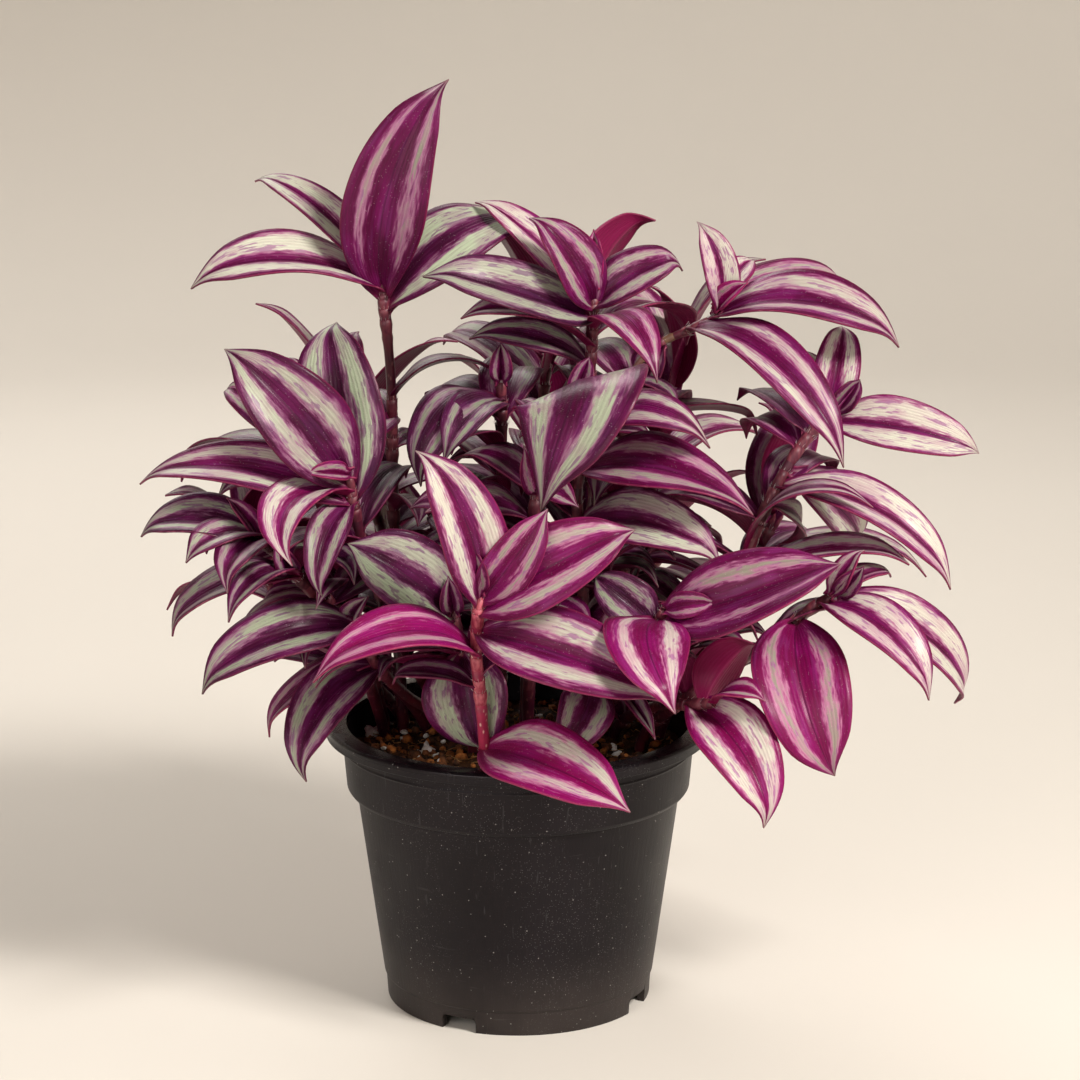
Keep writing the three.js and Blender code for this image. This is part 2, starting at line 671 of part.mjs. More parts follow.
function makeSoilBody() {
  const wall = innerSection(CLEARANCE).reverse();
  const floor = wall[0][1];
  const edge = BAND_BOTTOM_RADIUS - WALL + 0.8 - CLEARANCE;
  const rings = wall.map(([radius, height]) => ({ radius, level: height }));
  for (let i = 0; i < SOIL_RINGS; i += 1) {
    rings.push({ radius: edge * (1 - i / SOIL_RINGS), level: null });
  }
  const points = [new THREE.Vector3(0, 0, floor)];
  rings.forEach(({ radius, level }) => {
    for (let k = 0; k < SOIL_SIDES; k += 1) {
      const angle = (2 * Math.PI * k) / SOIL_SIDES;
      const x = radius * Math.cos(angle);
      const y = radius * Math.sin(angle);
      points.push(new THREE.Vector3(x, y, level ?? soilHeight(x, y)));
    }
  });
  points.push(new THREE.Vector3(0, 0, soilHeight(0, 0)));
  const ringStart = (i) => 1 + i * SOIL_SIDES;
  const faces = [];
  const top = points.length - 1;
  for (let k = 0; k < SOIL_SIDES; k += 1) {
    const next = (k + 1) % SOIL_SIDES;
    faces.push([0, ringStart(0) + next, ringStart(0) + k]);
    for (let i = 0; i < rings.length - 1; i += 1) {
      const [a, b] = [ringStart(i) + k, ringStart(i) + next];
      faces.push([a, b, b + SOIL_SIDES], [a, b + SOIL_SIDES, a + SOIL_SIDES]);
    }
    const inner = ringStart(rings.length - 1);
    faces.push([inner + k, inner + next, top]);
  }
  return solidOf(geometryOf(points, faces));
}

// A rough little lump, sunk into the surface by a third of its size.
function makeLump(x, y, radius, draw) {
  const lump = new THREE.OctahedronGeometry(radius, 0);
  lump.scale(draw([0.8, 1.25]), draw([0.8, 1.25]), draw([0.6, 0.95]));
  lump.rotateZ(draw([0, 6]));
  lump.rotateX(draw([0, 1]));
  lump.translate(x, y, soilHeight(x, y) + radius * 0.25);
  return solidOf(lump);
}

// Crumbs and perlite lie anywhere on the surface that is clear of the stems and the wall.
function scatterLumps(count, sizes, seed, stems) {
  const draw = makeDraw(seed);
  const reach = BAND_BOTTOM_RADIUS - WALL - 4;
  const feet = stems.map((stem) => stem.path[1]);
  const lumps = [];
  while (lumps.length < count) {
    const radius = draw(sizes);
    const x = draw([-reach, reach]);
    const y = draw([-reach, reach]);
    const room = radius * 1.3 + 3.5;
    const clear = feet.every(([footX, footY]) => Math.hypot(x - footX, y - footY) > room);
    if (clear && Math.hypot(x, y) < reach) {
      lumps.push(makeLump(x, y, radius, draw));
    }
  }
  return lumps;
}

function makeSoil(stems) {
  const crumbs = scatterLumps(CRUMB_COUNT, CRUMB_RADIUS, 11, stems);
  const perlite = scatterLumps(PERLITE_COUNT, PERLITE_RADIUS, 29, stems);
  const heap = outerBody(wasm.Manifold.union([makeSoilBody(), ...crumbs, ...perlite]));
  const holes = stems.map(stemHole);
  return outerBody(heap.subtract(wasm.Manifold.union(holes)));
}

// ---- the potted plant ----

const backStems = BACK_STEMS.map((stem, i) => ({ ...stem, leaves: backLeaves(stem, i) }));
const allStems = [...SEEN_STEMS, ...backStems].map((stem, i) => (
  { ...stem, leaves: [...stem.leaves, ...lowerLeaves(stem, i)] }
));

const plant = new THREE.Group();
plant.add(meshOf("pot", makePot(), POT_FINISH));
plant.add(meshOf("soil", makeSoil(allStems), SOIL_FINISH));
for (const stem of allStems) {
  plant.add(meshOf(stem.name, makeStem(stem), PLANT_FINISH));
}

export default plant;
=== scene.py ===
"""A potted tradescantia: a trailing house plant with silver-striped purple leaves, in a
matte black 12 cm nursery pot filled with potting soil.

The solids of the part give the frame. The stems' courses and the leaves' rows below are
the part's own, in millimetres, but for about twenty leaves that are turned, bent or
broadened a little further. Every piece is modelled finer along them.
"""
import math
import random
from collections import namedtuple

import bmesh
import bpy
from mathutils import Matrix, Vector, noise
from mathutils.bvhtree import BVHTree


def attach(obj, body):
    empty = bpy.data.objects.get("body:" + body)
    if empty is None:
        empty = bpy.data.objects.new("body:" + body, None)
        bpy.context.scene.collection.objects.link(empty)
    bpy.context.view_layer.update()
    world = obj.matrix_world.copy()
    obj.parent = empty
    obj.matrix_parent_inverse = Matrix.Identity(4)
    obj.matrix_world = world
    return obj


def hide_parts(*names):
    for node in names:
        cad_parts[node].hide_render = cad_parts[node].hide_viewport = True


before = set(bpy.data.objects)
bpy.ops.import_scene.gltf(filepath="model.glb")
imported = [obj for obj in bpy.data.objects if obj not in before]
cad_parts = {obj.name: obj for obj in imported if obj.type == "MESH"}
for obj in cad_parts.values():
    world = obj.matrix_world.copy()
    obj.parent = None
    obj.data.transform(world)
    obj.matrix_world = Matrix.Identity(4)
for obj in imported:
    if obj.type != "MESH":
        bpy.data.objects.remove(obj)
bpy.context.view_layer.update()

MM = 0.001

# Pot, in millimetres.
POT_TURNS = 120
WALL = 1.4
LIP_RADIUS = 60
LIP_TOP = 89
LIP_UNDERSIDE = 85.4
BAND_TOP_RADIUS = 55
BAND_BOTTOM_RADIUS = 53.6
BAND_BOTTOM = 68
BODY_TOP_RADIUS = 50.6
BODY_TOP = 67.2
STEP_HEIGHT = 8
STEP_DEPTH = 0.5
FOOT_RADIUS = 41.5
FOOT_WIDTH = 2.2
FLOOR_UNDERSIDE = 5
FLOOR_THICKNESS = 1.6
PAD_RADIUS = 12
RIDGE_BELOW_LIP = 4
NOTCH_COUNT = 4
NOTCH_TURN = -116
NOTCH_WIDTH = 11.5
NOTCH_HEIGHT = 4.6
NOTCH_DEPTH = 10
NOTCH_CORNER = 1.4
DRAIN_COUNT = 6
DRAIN_RADIUS = 3.5
DRAIN_CIRCLE = 27
CORNER_RADIUS = 0.28
SHARP = math.radians(16)
LEVEL = 1e-3
SAME_PLACE = 1e-4

# Soil.
CLEARANCE = 0.3
SOIL_LEVEL = 79
SOIL_EDGE = BAND_BOTTOM_RADIUS - WALL + 0.8 - CLEARANCE
SOIL_TURNS = 150
SOIL_RINGS = 52
CRUMB_COUNT = 520
CRUMB_SEED = 71
FIBRE_COUNT = 300
FIBRE_SEED = 83
FIBRE_RUNS = 4
# Grains of perlite that the photograph shows by the rim: x, y and size.
PERLITE_SEEN = [
    (-46.7, 16.4, 2.4), (-44.9, 20.8, 1.8), (-42.4, 25.5, 1.7), (-36.2, 24.8, 1.5),
    (-41.1, 27.6, 0.9), (-31.0, 38.6, 1.2), (-30.6, -12.3, 1.8), (-25.3, -3.8, 1.5),
    (6.5, 36.3, 1.5), (9.7, 23.7, 0.9), (13.8, 21.5, 1.2), (-41.5, -4.9, 1.1), (-23.6, -19.6, 1.1),
]
PERLITE_SCATTERED = 26
PERLITE_SEED = 97

# Stems and leaves.
STALK_SEED = 300
STEM_SIDES = 12
STEM_FOOT_RADIUS = 1.95
STEM_TIP_RADIUS = 1.4
THIN_TIPS = {"stem_top_right": 0.95}
STEM_RUN = 2
NODE_SWELL = 0.3
NODE_SPAN = 1.8
STEM_WANDER = 0.06
SHEATH_LENGTH = 6
HAIRS_PER_SHEATH = 9
HAIR_LENGTH = (0.9, 2)
HAIR_RADIUS = 0.075
BLADE_SEED = 700
ROOT_OFFSET = 1
BLADE_CELLS = (14, 30)
WIDEST = 0.4
CLASP_LENGTH = 0.16
CLASP_HALF = 1.9
HOOK_START = 0.78
FOLD = 0.38
FOLD_LOST = 0.55
STEEP_ARCH = (0.15, 0.36)
BLADE_THICKNESS = 0.55
BLADE_WIDER = 1.06
BUD_BREADTH = 8
GOLDEN_ANGLE = 137.5
BACK_LEAF_LENGTH = (50, 60)
BACK_LEAF_BREADTH = (17, 22)
BACK_LEAF_RISE = (6, 10)
TOP_LEAF_SHARE = 0.72
TOP_LEAF_STEEPNESS = 72
STEEPNESS_LOST = 17
LOWEST_STEEPNESS = -6
BACK_LEAF_DROOP = 0.25
LOWER_LEAF_TOP = 0.76
LOWER_LEAF_SPACING = 0.15
LOWER_LEAF_LENGTH = (38, 50)
LOWER_LEAF_BREADTH = (15, 19)
LOWER_LEAF_RISE = (6, 9)
INNER_LEAF_SEED = 2024
INNER_LEAF_LENGTH = (26, 46)
INNER_LEAF_LOWEST = 0.3
INNER_LEAF_HIGHEST = 0.95
INNER_LEAF_SPACING = 5
INNER_LEAF_GAP = 6
INNER_LEAF_TRIES = 32
INNER_LEAF_REACH = 84
INNER_LEAF_FRONT = -50
INNER_LEAF_TOP = 182

# The stems seen from the front, each with its middle line, from the buried end to the
# growing tip, the number of its lower leaves and the way the first of them points, and its
# other leaves. A leaf's row is: how far up the stem it grows, the x, y, z of its tip, how
# high it arches, its breadth, the x, y, z of the way its upper side looks, how far it bends
# sideways, how rosy it is and how much light is painted on it, and how pale its silver
# bands are. The rosy value is partly the leaf's own tone and partly painted light: low values
# give the dark, dull colours of a leaf in shade, high ones the bright colours of a sunlit
# leaf. Where two more values follow, they are how much the blade folds along its midrib and
# how far it rolls over, in radians.
Stem = namedtuple("Stem", "name path lower_count lower_turn leaves")
Leaf = namedtuple("Leaf", "place tip_x tip_y tip_z rise breadth face_x face_y face_z sway "
                  "rosy pale fold roll", defaults=(None, 0))
SEEN_STEMS = [
    Stem("stem_tall_left", [(-36, 22, 62), (-37, 21, 82), (-39, 15, 150), (-39, 10, 192),
         (-41, 5, 222), (-41, 4, 229)], 3, 0, [
        (0.95, -20, -2, 288, 6, 25, 1, -5, 1, -9, 0.42, 0.1),
        (0.98, -82, 22, 256, 8, 13, -1, -2, 4, 0, 0.45, 1.1),
        (0.96, -99, -12, 227, 9, 21, 0, -2, 4, 0, 0.5, 0.85),
        (1, -43, 3, 247, 1, 6, 0, -1, 0, 0, 1, 0.1),
        (0.93, 3, 28, 240, 15, 24, -1, -4, 3, 0, 0.15, 1),
        (0.91, -12, 58, 226, 8, 20, 0, 0, 1, 0, 0.4, 0.4)]),
    Stem("stem_top_centre", [(16, 14, 62), (17, 14, 82), (21, 13, 150), (22, 10, 190),
         (23, 5, 216), (23, 4, 224)], 3, 320, [
        (0.94, -28, -18, 233, 4, 21, 1, -5, 6, -4, 0.1, 1.2),
        (0.97, -13, 16, 250, 4, 13, 2, -4, 2, 0, 0.6, 1.2),
        (0.96, 4, -4, 248, 5, 17, 2, -4, 1, 0, 0.55, 0.3),
        (0.98, 41, 26, 244, 4, 17, -1, 3, 2, 0, 0.6, 0.3),
        (1, 23, 3, 242, 1, 6, 0, -1, 0, 0, 1, 0.1),
        (0.96, 51, 4, 233, 4, 17, -1, -3, 3, 0, 0.3, 0.55),
        (0.88, -17, -12, 218, 5, 14, 0, -1, 4, 0, 0.6, 0.4),
        (0.92, 42, -30, 201, 11, 16, 0, -1, 4, 0, 0.6, 0.45),
        (0.9, 56, 42, 202, 9, 20, 0, 0, 1, 0, 0.6, 0.4),
        (0.84, -15, -6, 211, 5, 14, 1, -2, 3, 0, 0.1, 0.35)]),
    Stem("stem_top_right", [(34, 22, 62), (34, 21, 82), (33, 18, 150), (34, 15, 190),
         (42, 12, 204), (52, 9, 210), (60, 8, 214), (62, 8, 217)], 3, 120, [
        (0.99, 54, 6, 244, 3, 11, 1, -4, 1, 3, 0.55, 1.2),
        (0.99, 73, 22, 230, 3, 11, -1, -2, 2, 0, 0.7, 0.8),
        (1, 70, 2, 226, 1, 7, -1, -2, 1, 0, 1, 0.2),
        (0.98, 106, 40, 218, 6, 20, 0, -1, 4, 0, 0.6, 0.35),
        (0.97, 117, -6, 208, 10, 22, 0, -2, 4, 0, 0.45, 0.6),
        (0.93, 98, -34, 176, 13, 18, 0, -2, 4, 0, 0.5, 0.7),
        (0.88, 41, 24, 188, 3, 13, 0, -2, 2, 0, 0.5, 0.5)]),
    Stem("stem_far_right", [(42, 13, 62), (45, 12, 82), (53, 2, 102), (65, -9, 128),
         (74, -13, 156), (83, -9, 173), (91, -6, 183), (96, -5, 187)], 2, 50, [
        (0.98, 100, 10, 212, 4, 14, 0, -4, 1, 0, 0.6, 0.75),
        (0.97, 141, -14, 176, 4, 18, 0, -3, 3, 0, 0.5, 1.25),
        (0.8, 131, -30, 138, 11, 18, 0, -2, 4, 0, 0.6, 1.15),
        (0.62, 106, -36, 166, 12, 11, 0, -1, 4, 0, 0.5, 0.6),
        (0.58, 117, -36, 149, 4, 17, 0, -1, 4, 0, 0.65, 0.45),
        (0.76, 84, 20, 140, 6, 9, 0, -3, 2, 0, 0.5, 0.9),
        (0.84, 106, 20, 140, 6, 18, 0, -3, 2, 0, 0.4, 1),
        (0.98, 85, 16, 203, 4, 9, 1, -2, 3, 0, 0.5, 1)]),
    Stem("stem_low_right", [(38, 3, 62), (39, 1, 82), (49, -12, 97), (61, -22, 108),
         (76, -29, 122), (88, -34, 133), (95, -36, 138)], 1, 0, [
        (0.98, 102, -40, 153, 1, 8, -1, -2, 1, 0, 0.75, 0.6),
        (0.95, 122, -60, 112, 9, 18, 0, -2, 4, 0, 0.6, 1.15),
        (0.98, 136, -24, 100, 11, 20, 0.6, -2.4, 3, 0, 0.6, 1.15),
        (0.86, 94, -62, 88, 8, 28, 0, -4, 3, 5, 0.72, 0.12),
        (0.98, 113, -30, 143, 3, 9, 0, -1, 3, 0, 0.6, 0.5)]),
    Stem("stem_front_right", [(22, 12, 62), (23, 10, 82), (32, -18, 104), (40, -44, 126),
         (43, -55, 138)], 1, 10, [
        (0.96, 94, -66, 156, 4, 26, 0, -3, 3, 5, 0.5, 0.1),
        (0.95, 46, -92, 118, 8, 25, -0.6, -2, 3, 5, 0.75, 0.7, 0.08, 0.3),
        (1, 58, -62, 142, 2, 8, 0, -2, 1, 0, 0.6, 0.15),
        (0.9, 22, -44, 146, 2, 15, 0, -3, 2, 0, 0.1, 0.35),
        (0.5, 41, -49, 97, 2, 6, 0, -2, 2, 0, 0.3, 0.5)]),
    Stem("stem_edge_right", [(30, 14, 62), (31, 12, 82), (42, -18, 98), (51, -44, 106),
         (58, -53, 109)], 0, 0, [
        (0.88, 74, -74, 77, 7, 22, 0, -3, 3, -3, 0.8, 0.7),
        (0.95, 71, -42, 126, 4, 16, 0, 3, 1, 0, 0.75, 0.2),
        (1, 72, -66, 114, 3, 10, 0, -1, 3, 0, 0.9, 0.4)]),
    Stem("stem_front", [(-9, -38, 62), (-9, -40, 82), (-10, -44, 96), (-11, -49, 112),
         (-12, -55, 126), (-11, -60, 140), (-11, -61, 145)], 0, 0, [
        (0.35, 33, -84, 86, 6, 24, 0, -3, 3, 1, 0.85, 0.5),
        (0.84, 44, -76, 117, 6, 26, 0, -3, 3, 2, 0.55, 0.55),
        (0.92, 35, -64, 165, 5, 23, -1, -4, 2, 0, 0.6, 0.35),
        (0.96, 9, -66, 171, 3, 15, 1, -3, 1, 0, 0.7, 0.25),
        (0.95, -28, -72, 190, 5, 20, 1, -4, 1, 4, 0.55, 0.8),
        (1, -13, -66, 160, 1, 7.6, 0, -1, 0, 0, 0.45, 0.12),
        (0.74, -59, -86, 126, 12, 20, 0, -2.2, 3.5, 0, 0.95, 0.35)]),
    Stem("stem_inner_left", [(-14, 0, 62), (-14, -2, 82), (-15, -20, 104), (-17, -32, 120),
         (-19, -37, 133)], 1, 0, [
        (0.97, -50, -46, 156, 4, 25, -1, -3, 3, 0, 0.12, 1),
        (0.78, -60, -62, 118, 6, 14, 0, -1, 4, 0, 0.2, 0.55),
        (0.82, -11, -37, 89, 4, 26, -0.6, -4, 1.4, 0, 0.15, 0.65)]),
    Stem("stem_left", [(-23, 25, 62), (-24, 23, 82), (-38, -4, 118), (-46, -22, 148),
         (-49, -28, 164), (-50, -31, 173)], 2, 220, [
        (0.97, -86, -34, 213, 5, 26, 2, -4, 1, 0, 0.2, 0.7),
        (0.93, -57, -10, 218, 5, 27, 0, -4, 1, 0, 0.15, 0.65),
        (0.95, -66, -66, 154, 6, 17, 0, -2, 4, 9, 0.7, 0.8),
        (1, -62, -42, 176, 1, 6, 0, -2, 1, 0, 0.7, 0.4),
        (0.92, -114, -28, 171, 12, 18, 0, -3, 3, 0, 0.4, 0.65),
        (0.93, -58, -50, 140, 4, 12, 0, -4, 1, 4, 0.25, 0.5)]),
    Stem("stem_far_left", [(-42, 12, 62), (-43, 14, 82), (-54, -6, 122), (-68, -22, 143),
         (-77, -31, 154)], 1, 130, [
        (0.96, -113, -36, 157, 6, 19, 0, -2, 3.5, 0, 0.15, 0.5),
        (1, -86, -34, 167, 1, 6, 0, -1, 1, 0, 0.5, 0.2),
        (0.97, -97, -52, 152, 5, 14, 0, -1, 4, 0, 0.3, 0.5),
        (0.95, -86, -62, 146, 6, 15, 0, -1, 4, 0, 0.3, 0.4),
        (0.9, -98, 6, 142, 6, 18, 0, 0, 1, 0, 0.15, 0.45)]),
    Stem("stem_back_left", [(-41, 19, 62), (-43, 21, 82), (-54, 12, 130), (-62, 5, 160),
         (-68, 3, 178)], 2, 70, [
        (0.98, -92, 14, 192, 4, 14, 0, -2, 2, 0, 0.3, 0.5),
        (0.85, -92, -8, 162, 6, 16, 0, -1, 4, 0, 0.3, 0.5),
        (0.97, -78, 46, 190, 8, 20, 0, 0, 1, 0, 0.2, 0.5),
        (1, -70, 8, 204, 3, 12, 1, -3, 1, 0, 0.3, 0.4),
        (0.9, -108, 28, 160, 9, 20, 0, 0, 1, 0, 0.2, 0.5),
        (0.93, -46, 36, 172, 8, 19, 0, 0, 1, 0, 0.3, 0.4)]),
    Stem("stem_low_left", [(-29, 20, 62), (-30, 18, 82), (-45, -8, 110), (-60, -27, 134),
         (-67, -35, 145)], 0, 0, [
        (0.96, -104, -44, 128, 6, 20, 0, -1, 4, 0, 0.3, 0.45),
        (0.97, -84, -66, 138, 6, 12, 0, -1, 4, 0, 0.3, 0.5),
        (0.85, -85, -20, 115, 6, 17, 0, 0, 1, 0, 0.3, 0.4)]),
    Stem("stem_edge_left", [(-21, 18, 62), (-22, 16, 82), (-34, -10, 99), (-43, -29, 115),
         (-48, -34, 131)], 0, 0, [
        (0.95, -95, -50, 112, 8, 22, 0, -2, 3, 0, 0.15, 0.5),
        (0.8, -77, -24, 90, 6, 15, 0, -1, 3, 0, 0.6, 0.25),
        (0.78, -65, -60, 87, 6, 18, 0, -3, 3, 5, 0.15, 0.5),
        (1, -44, -42, 139, 2, 7, 0, -2, 1, 0, 0.3, 0.4)]),
    Stem("stem_behind", [(-6, 6, 62), (-6, 6, 82), (-5, 5, 130), (-5, 2, 174), (-5, 0, 190),
         (-5, -1, 196)], 3, 130, [
        (0.96, -32, -26, 168, 15, 19, 0, -2, 4, 0, 0.1, 0.3),
        (0.93, -22, -34, 178, 9, 15, 0, -2, 4, 0, 0.1, 0.3),
        (0.9, -30, 18, 186, 7, 18, 0, 0, 1, 0, 0.1, 0.3),
        (0.9, 2, 38, 190, 8, 19, 0, 0, 1, 0, 0.3, 0.4)]),
    Stem("stem_centre", [(3, -2, 62), (3, -4, 82), (4, -18, 130), (5, -24, 160), (10, -25, 182),
         (17, -22, 195)], 2, 140, [
        (0.98, 5, -63, 169, 25, 41, 0, -2, 4, -7, 0.25, 0.55, -0.1, -0.48),
        (0.78, 2, -38, 183, 2, 10, 0, -2, 1, 0, 0.7, 0.3),
        (0.8, 18, -42, 166, 2, 9, 0, -2, 1, 0, 0.6, 0.4)]),
    Stem("stem_centre_right", [(20, 4, 62), (20, 2, 82), (20, -10, 130), (18, -18, 165),
         (21, -21, 184)], 3, 120, [
        (0.98, 58, -40, 184, 13, 18, 0, -2, 3.5, 0, 0.4, 0.6),
        (0.9, 70, -46, 165, 8, 22, 0, -2.6, 3.2, 0, 0.6, 0.35),
        (0.76, 62, -46, 151, 7, 21, 0, -3, 3, 0, 0.35, 1.15),
        (0.94, 44, 2, 190, 7, 17, 0, 0, 1, 0, 0.3, 0.4)]),
    Stem("stem_low_centre", [(13, -4, 62), (13, -6, 82), (19, -22, 100), (24, -30, 112),
         (27, -34, 122)], 1, 10, [
        (0.75, 10, -46, 90, 6, 17, 0, -4, 2, -3, 0.35, 0.45),
        (1, 30, -39, 137, 2, 8, 0, -2, 1, 0, 0.4, 0.3)]),
]

# The stems behind them: name, middle line, lower leaves and the first one's way, and the way
# and the number of the leaves at the top, which follow a rule.
BACK_STEMS = [
    ("stem_back_centre", [(2, 22, 62), (2, 23, 82), (4, 32, 130), (7, 40, 172), (9, 45, 196)],
     1, 10, 80, 6),
    ("stem_back_right", [(26, 34, 62), (27, 35, 82), (38, 46, 130), (46, 56, 165), (50, 62, 182)],
     1, 120, 210, 6),
    ("stem_rear_left", [(-24, 34, 62), (-25, 35, 82), (-38, 48, 120), (-50, 60, 150),
     (-56, 68, 166)], 1, 0, 60, 6),
    ("stem_rear_centre", [(2, 40, 62), (2, 41, 82), (5, 58, 118), (7, 74, 146), (8, 82, 158)],
     0, 0, 250, 6),
    ("stem_side_right", [(39, 21, 62), (41, 22, 82), (60, 26, 112), (76, 31, 136), (84, 35, 148)],
     1, 40, 160, 6),
    ("stem_side_left", [(-36, 28, 62), (-38, 28, 82), (-58, 22, 104), (-72, 22, 118),
     (-80, 28, 126)], 0, 0, 320, 5),
    ("stem_low_back_right", [(14, 39, 62), (15, 40, 82), (22, 47, 98), (34, 66, 110),
     (42, 78, 116), (48, 86, 121)], 0, 0, 45, 5),
    ("stem_low_back_left", [(-11, 39, 62), (-12, 40, 82), (-18, 48, 98), (-26, 66, 106),
     (-32, 78, 111), (-38, 86, 115)], 0, 0, 100, 5),
]


class Draws:
    """The repeatable draws that the part's own rules take."""

    def __init__(self, seed):
        self.state = seed

    def __call__(self, low, high):
        self.state = self.state * 16807 % 2147483647
        return low + (high - low) * self.state / 2147483647


def smooth_step(low, high, value):
    share = min(max((value - low) / (high - low), 0), 1)
    return share * share * (3 - 2 * share)


def show(name, bm, finishes):
    """Puts a bmesh into the scene as a smooth object with its finishes."""
    mesh = bpy.data.meshes.new(name)
    bm.to_mesh(mesh)
    bm.free()
    for finish in finishes:
        mesh.materials.append(finish)
    mesh.shade_smooth()
    shown = bpy.data.objects.new(name, mesh)
    bpy.context.scene.collection.objects.link(shown)
    return shown


def finish_piece(name, bm, finishes, node):
    """Turns a bmesh in millimetres into a piece that stands for a node of the part."""
    bmesh.ops.transform(bm, matrix=Matrix.Scale(MM, 4), verts=bm.verts)
    piece = show(name, bm, finishes)
    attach(piece, "root")
    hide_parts(node)
    return piece


def turned(section, steps):
    """A shape turned round the Z axis from a line of points."""
    bm = bmesh.new()
    line = [bm.verts.new(point) for point in section]
    edges = [bm.edges.new(pair) for pair in zip(line, line[1:])]
    bmesh.ops.spin(bm, geom=line + edges, cent=(0, 0, 0), axis=(0, 0, 1),
                   angle=2 * math.pi, steps=steps, use_merge=True)
    bmesh.ops.remove_doubles(bm, verts=bm.verts, dist=SAME_PLACE)
    bmesh.ops.recalc_face_normals(bm, faces=bm.faces)
    return bm


def grow_loop(bm, loop):
    """Extrudes a loop of edges in its place: its new points, edges and faces."""
    grown = bmesh.ops.extrude_edge_only(bm, edges=loop)["geom"]
    kinds = bmesh.types.BMVert, bmesh.types.BMEdge, bmesh.types.BMFace
    return [[g for g in grown if isinstance(g, kind)] for kind in kinds]


def sweep(bm, frames, radii, sides, finish=0, ring_values=None):
    """A round bar through the frames, closed at both ends."""
    before = frames[0] @ Matrix.Diagonal((radii[0], radii[0], 1, 1))
    verts = bmesh.ops.create_circle(bm, cap_ends=True, segments=sides, radius=1,
                                    matrix=before)["verts"]
    made = [verts[0].link_faces[0]]
    loop = list({e for v in verts for e in v.link_edges})
    for i in range(1, len(frames)):
        after = frames[i] @ Matrix.Diagonal((radii[i], radii[i], 1, 1))
        verts, loop, walls = grow_loop(bm, loop)
        bmesh.ops.transform(bm, matrix=after @ before.inverted(), verts=verts)
        made += walls
        if ring_values:
            ring_layer = bm.verts.layers.float["ring"]
            for vert in verts:
                vert[ring_layer] = ring_values[i]
        before = after
    made += bmesh.ops.edgeloop_fill(bm, edges=loop)["faces"]
    for face in made:
        face.material_index = finish


# ---- finishes ----

# The colour sockets of a mix node.
MIX_FIRST, MIX_SECOND, MIX_RESULT = 6, 7, 2


class Finish:
    """A node material, put together one step at a time."""

    def __init__(self, name, roughness=0.5, **values):
        self.material = bpy.data.materials.new(name)
        self.material.use_nodes = True
        self.tree = self.material.node_tree
        self.shader = self.tree.nodes["Principled BSDF"]
        self.gloss(roughness)
        for label, value in values.items():
            self.shader.inputs[label.replace("_", " ")].default_value = value
        self.object_place = self.node("TexCoord")["Object"]

    def node(self, kind, inputs=(), **settings):
        """A new node with its settings, and with values or links at its inputs."""
        node = self.tree.nodes.new("ShaderNode" + kind)
        for label, setting in settings.items():
            setattr(node, label, setting)
        for label, source in dict(inputs).items():
            self.plug(source, node.inputs[label])
        return node.outputs

    def plug(self, source, socket):
        if isinstance(source, bpy.types.NodeSocket):
            self.tree.links.new(source, socket)
        elif isinstance(source, tuple) and len(source) == 3 and socket.type == "RGBA":
            socket.default_value = (*source, 1)
        else:
            socket.default_value = source

    def calc(self, operation, *values):
        return self.node("Math", enumerate(values), operation=operation)[0]

    def times(self, first, second):
        return self.calc("MULTIPLY", first, second)

    def plus(self, first, second):
        return self.calc("ADD", first, second)

    def minus(self, first, second):
        return self.calc("SUBTRACT", first, second)

    def scaled(self, value, factor, offset):
        return self.calc("MULTIPLY_ADD", value, factor, offset)

    def step(self, value, low, high, low_out=0.0, high_out=1.0):
        """Eases from low_out to high_out as the value goes from low to high."""
        inputs = {"Value": value, "From Min": low, "From Max": high, "To Min": low_out,
                  "To Max": high_out}
        return self.node("MapRange", inputs, interpolation_type="SMOOTHSTEP")["Result"]

    def mix(self, share, first, second):
        inputs = {"Factor": share, MIX_FIRST: first, MIX_SECOND: second}
        return self.node("Mix", inputs, data_type="RGBA")[MIX_RESULT]

    def over(self, under, colour, value, low, high, share=1.0):
        """Lays a colour over another where the value goes from low to high, up to a share."""
        return self.mix(self.step(value, low, high, 0.0, share), under, colour)

    def join(self, *values):
        return self.node("CombineXYZ", enumerate(values))[0]

    def split(self, vector):
        return self.node("SeparateXYZ", {0: vector})

    def grain(self, vector, scale, detail=2.0, roughness=0.5):
        return self.node("TexNoise", {"Vector": vector, "Scale": scale, "Detail": detail,
                                      "Roughness": roughness})["Fac"]

    def specks(self, vector, scale):
        return self.node("TexVoronoi", {"Vector": vector, "Scale": scale})["Distance"]

    def stretched(self, *scale):
        return self.node("Mapping", {"Vector": self.object_place, "Scale": scale})[0]

    def relief(self, height, distance, strength):
        self.plug(self.node("Bump", {"Distance": distance, "Strength": strength,
                                     "Height": height})[0], self.shader.inputs["Normal"])

    def colour(self, source):
        self.plug(source, self.shader.inputs["Base Color"])

    def gloss(self, source):
        self.plug(source, self.shader.inputs["Roughness"])


def blade_places(finish):
    """Places across and along the blade and off its midrib, its own look values, and a
    maker of coordinates on it that are other ones on each leaf."""
    across, along, _ = finish.split(finish.node("UVMap", uv_map="blade")[0])
    rosy, pale, own = finish.split(finish.node("Attribute", attribute_name="look")["Vector"])
    off_middle = finish.calc("ABSOLUTE", finish.scaled(across, 2, -1))
    own = finish.times(own, 40)

    def spread(wide, long):
        return finish.join(finish.times(across, wide), finish.times(along, long), own)

    return across, along, off_middle, rosy, pale, own, spread


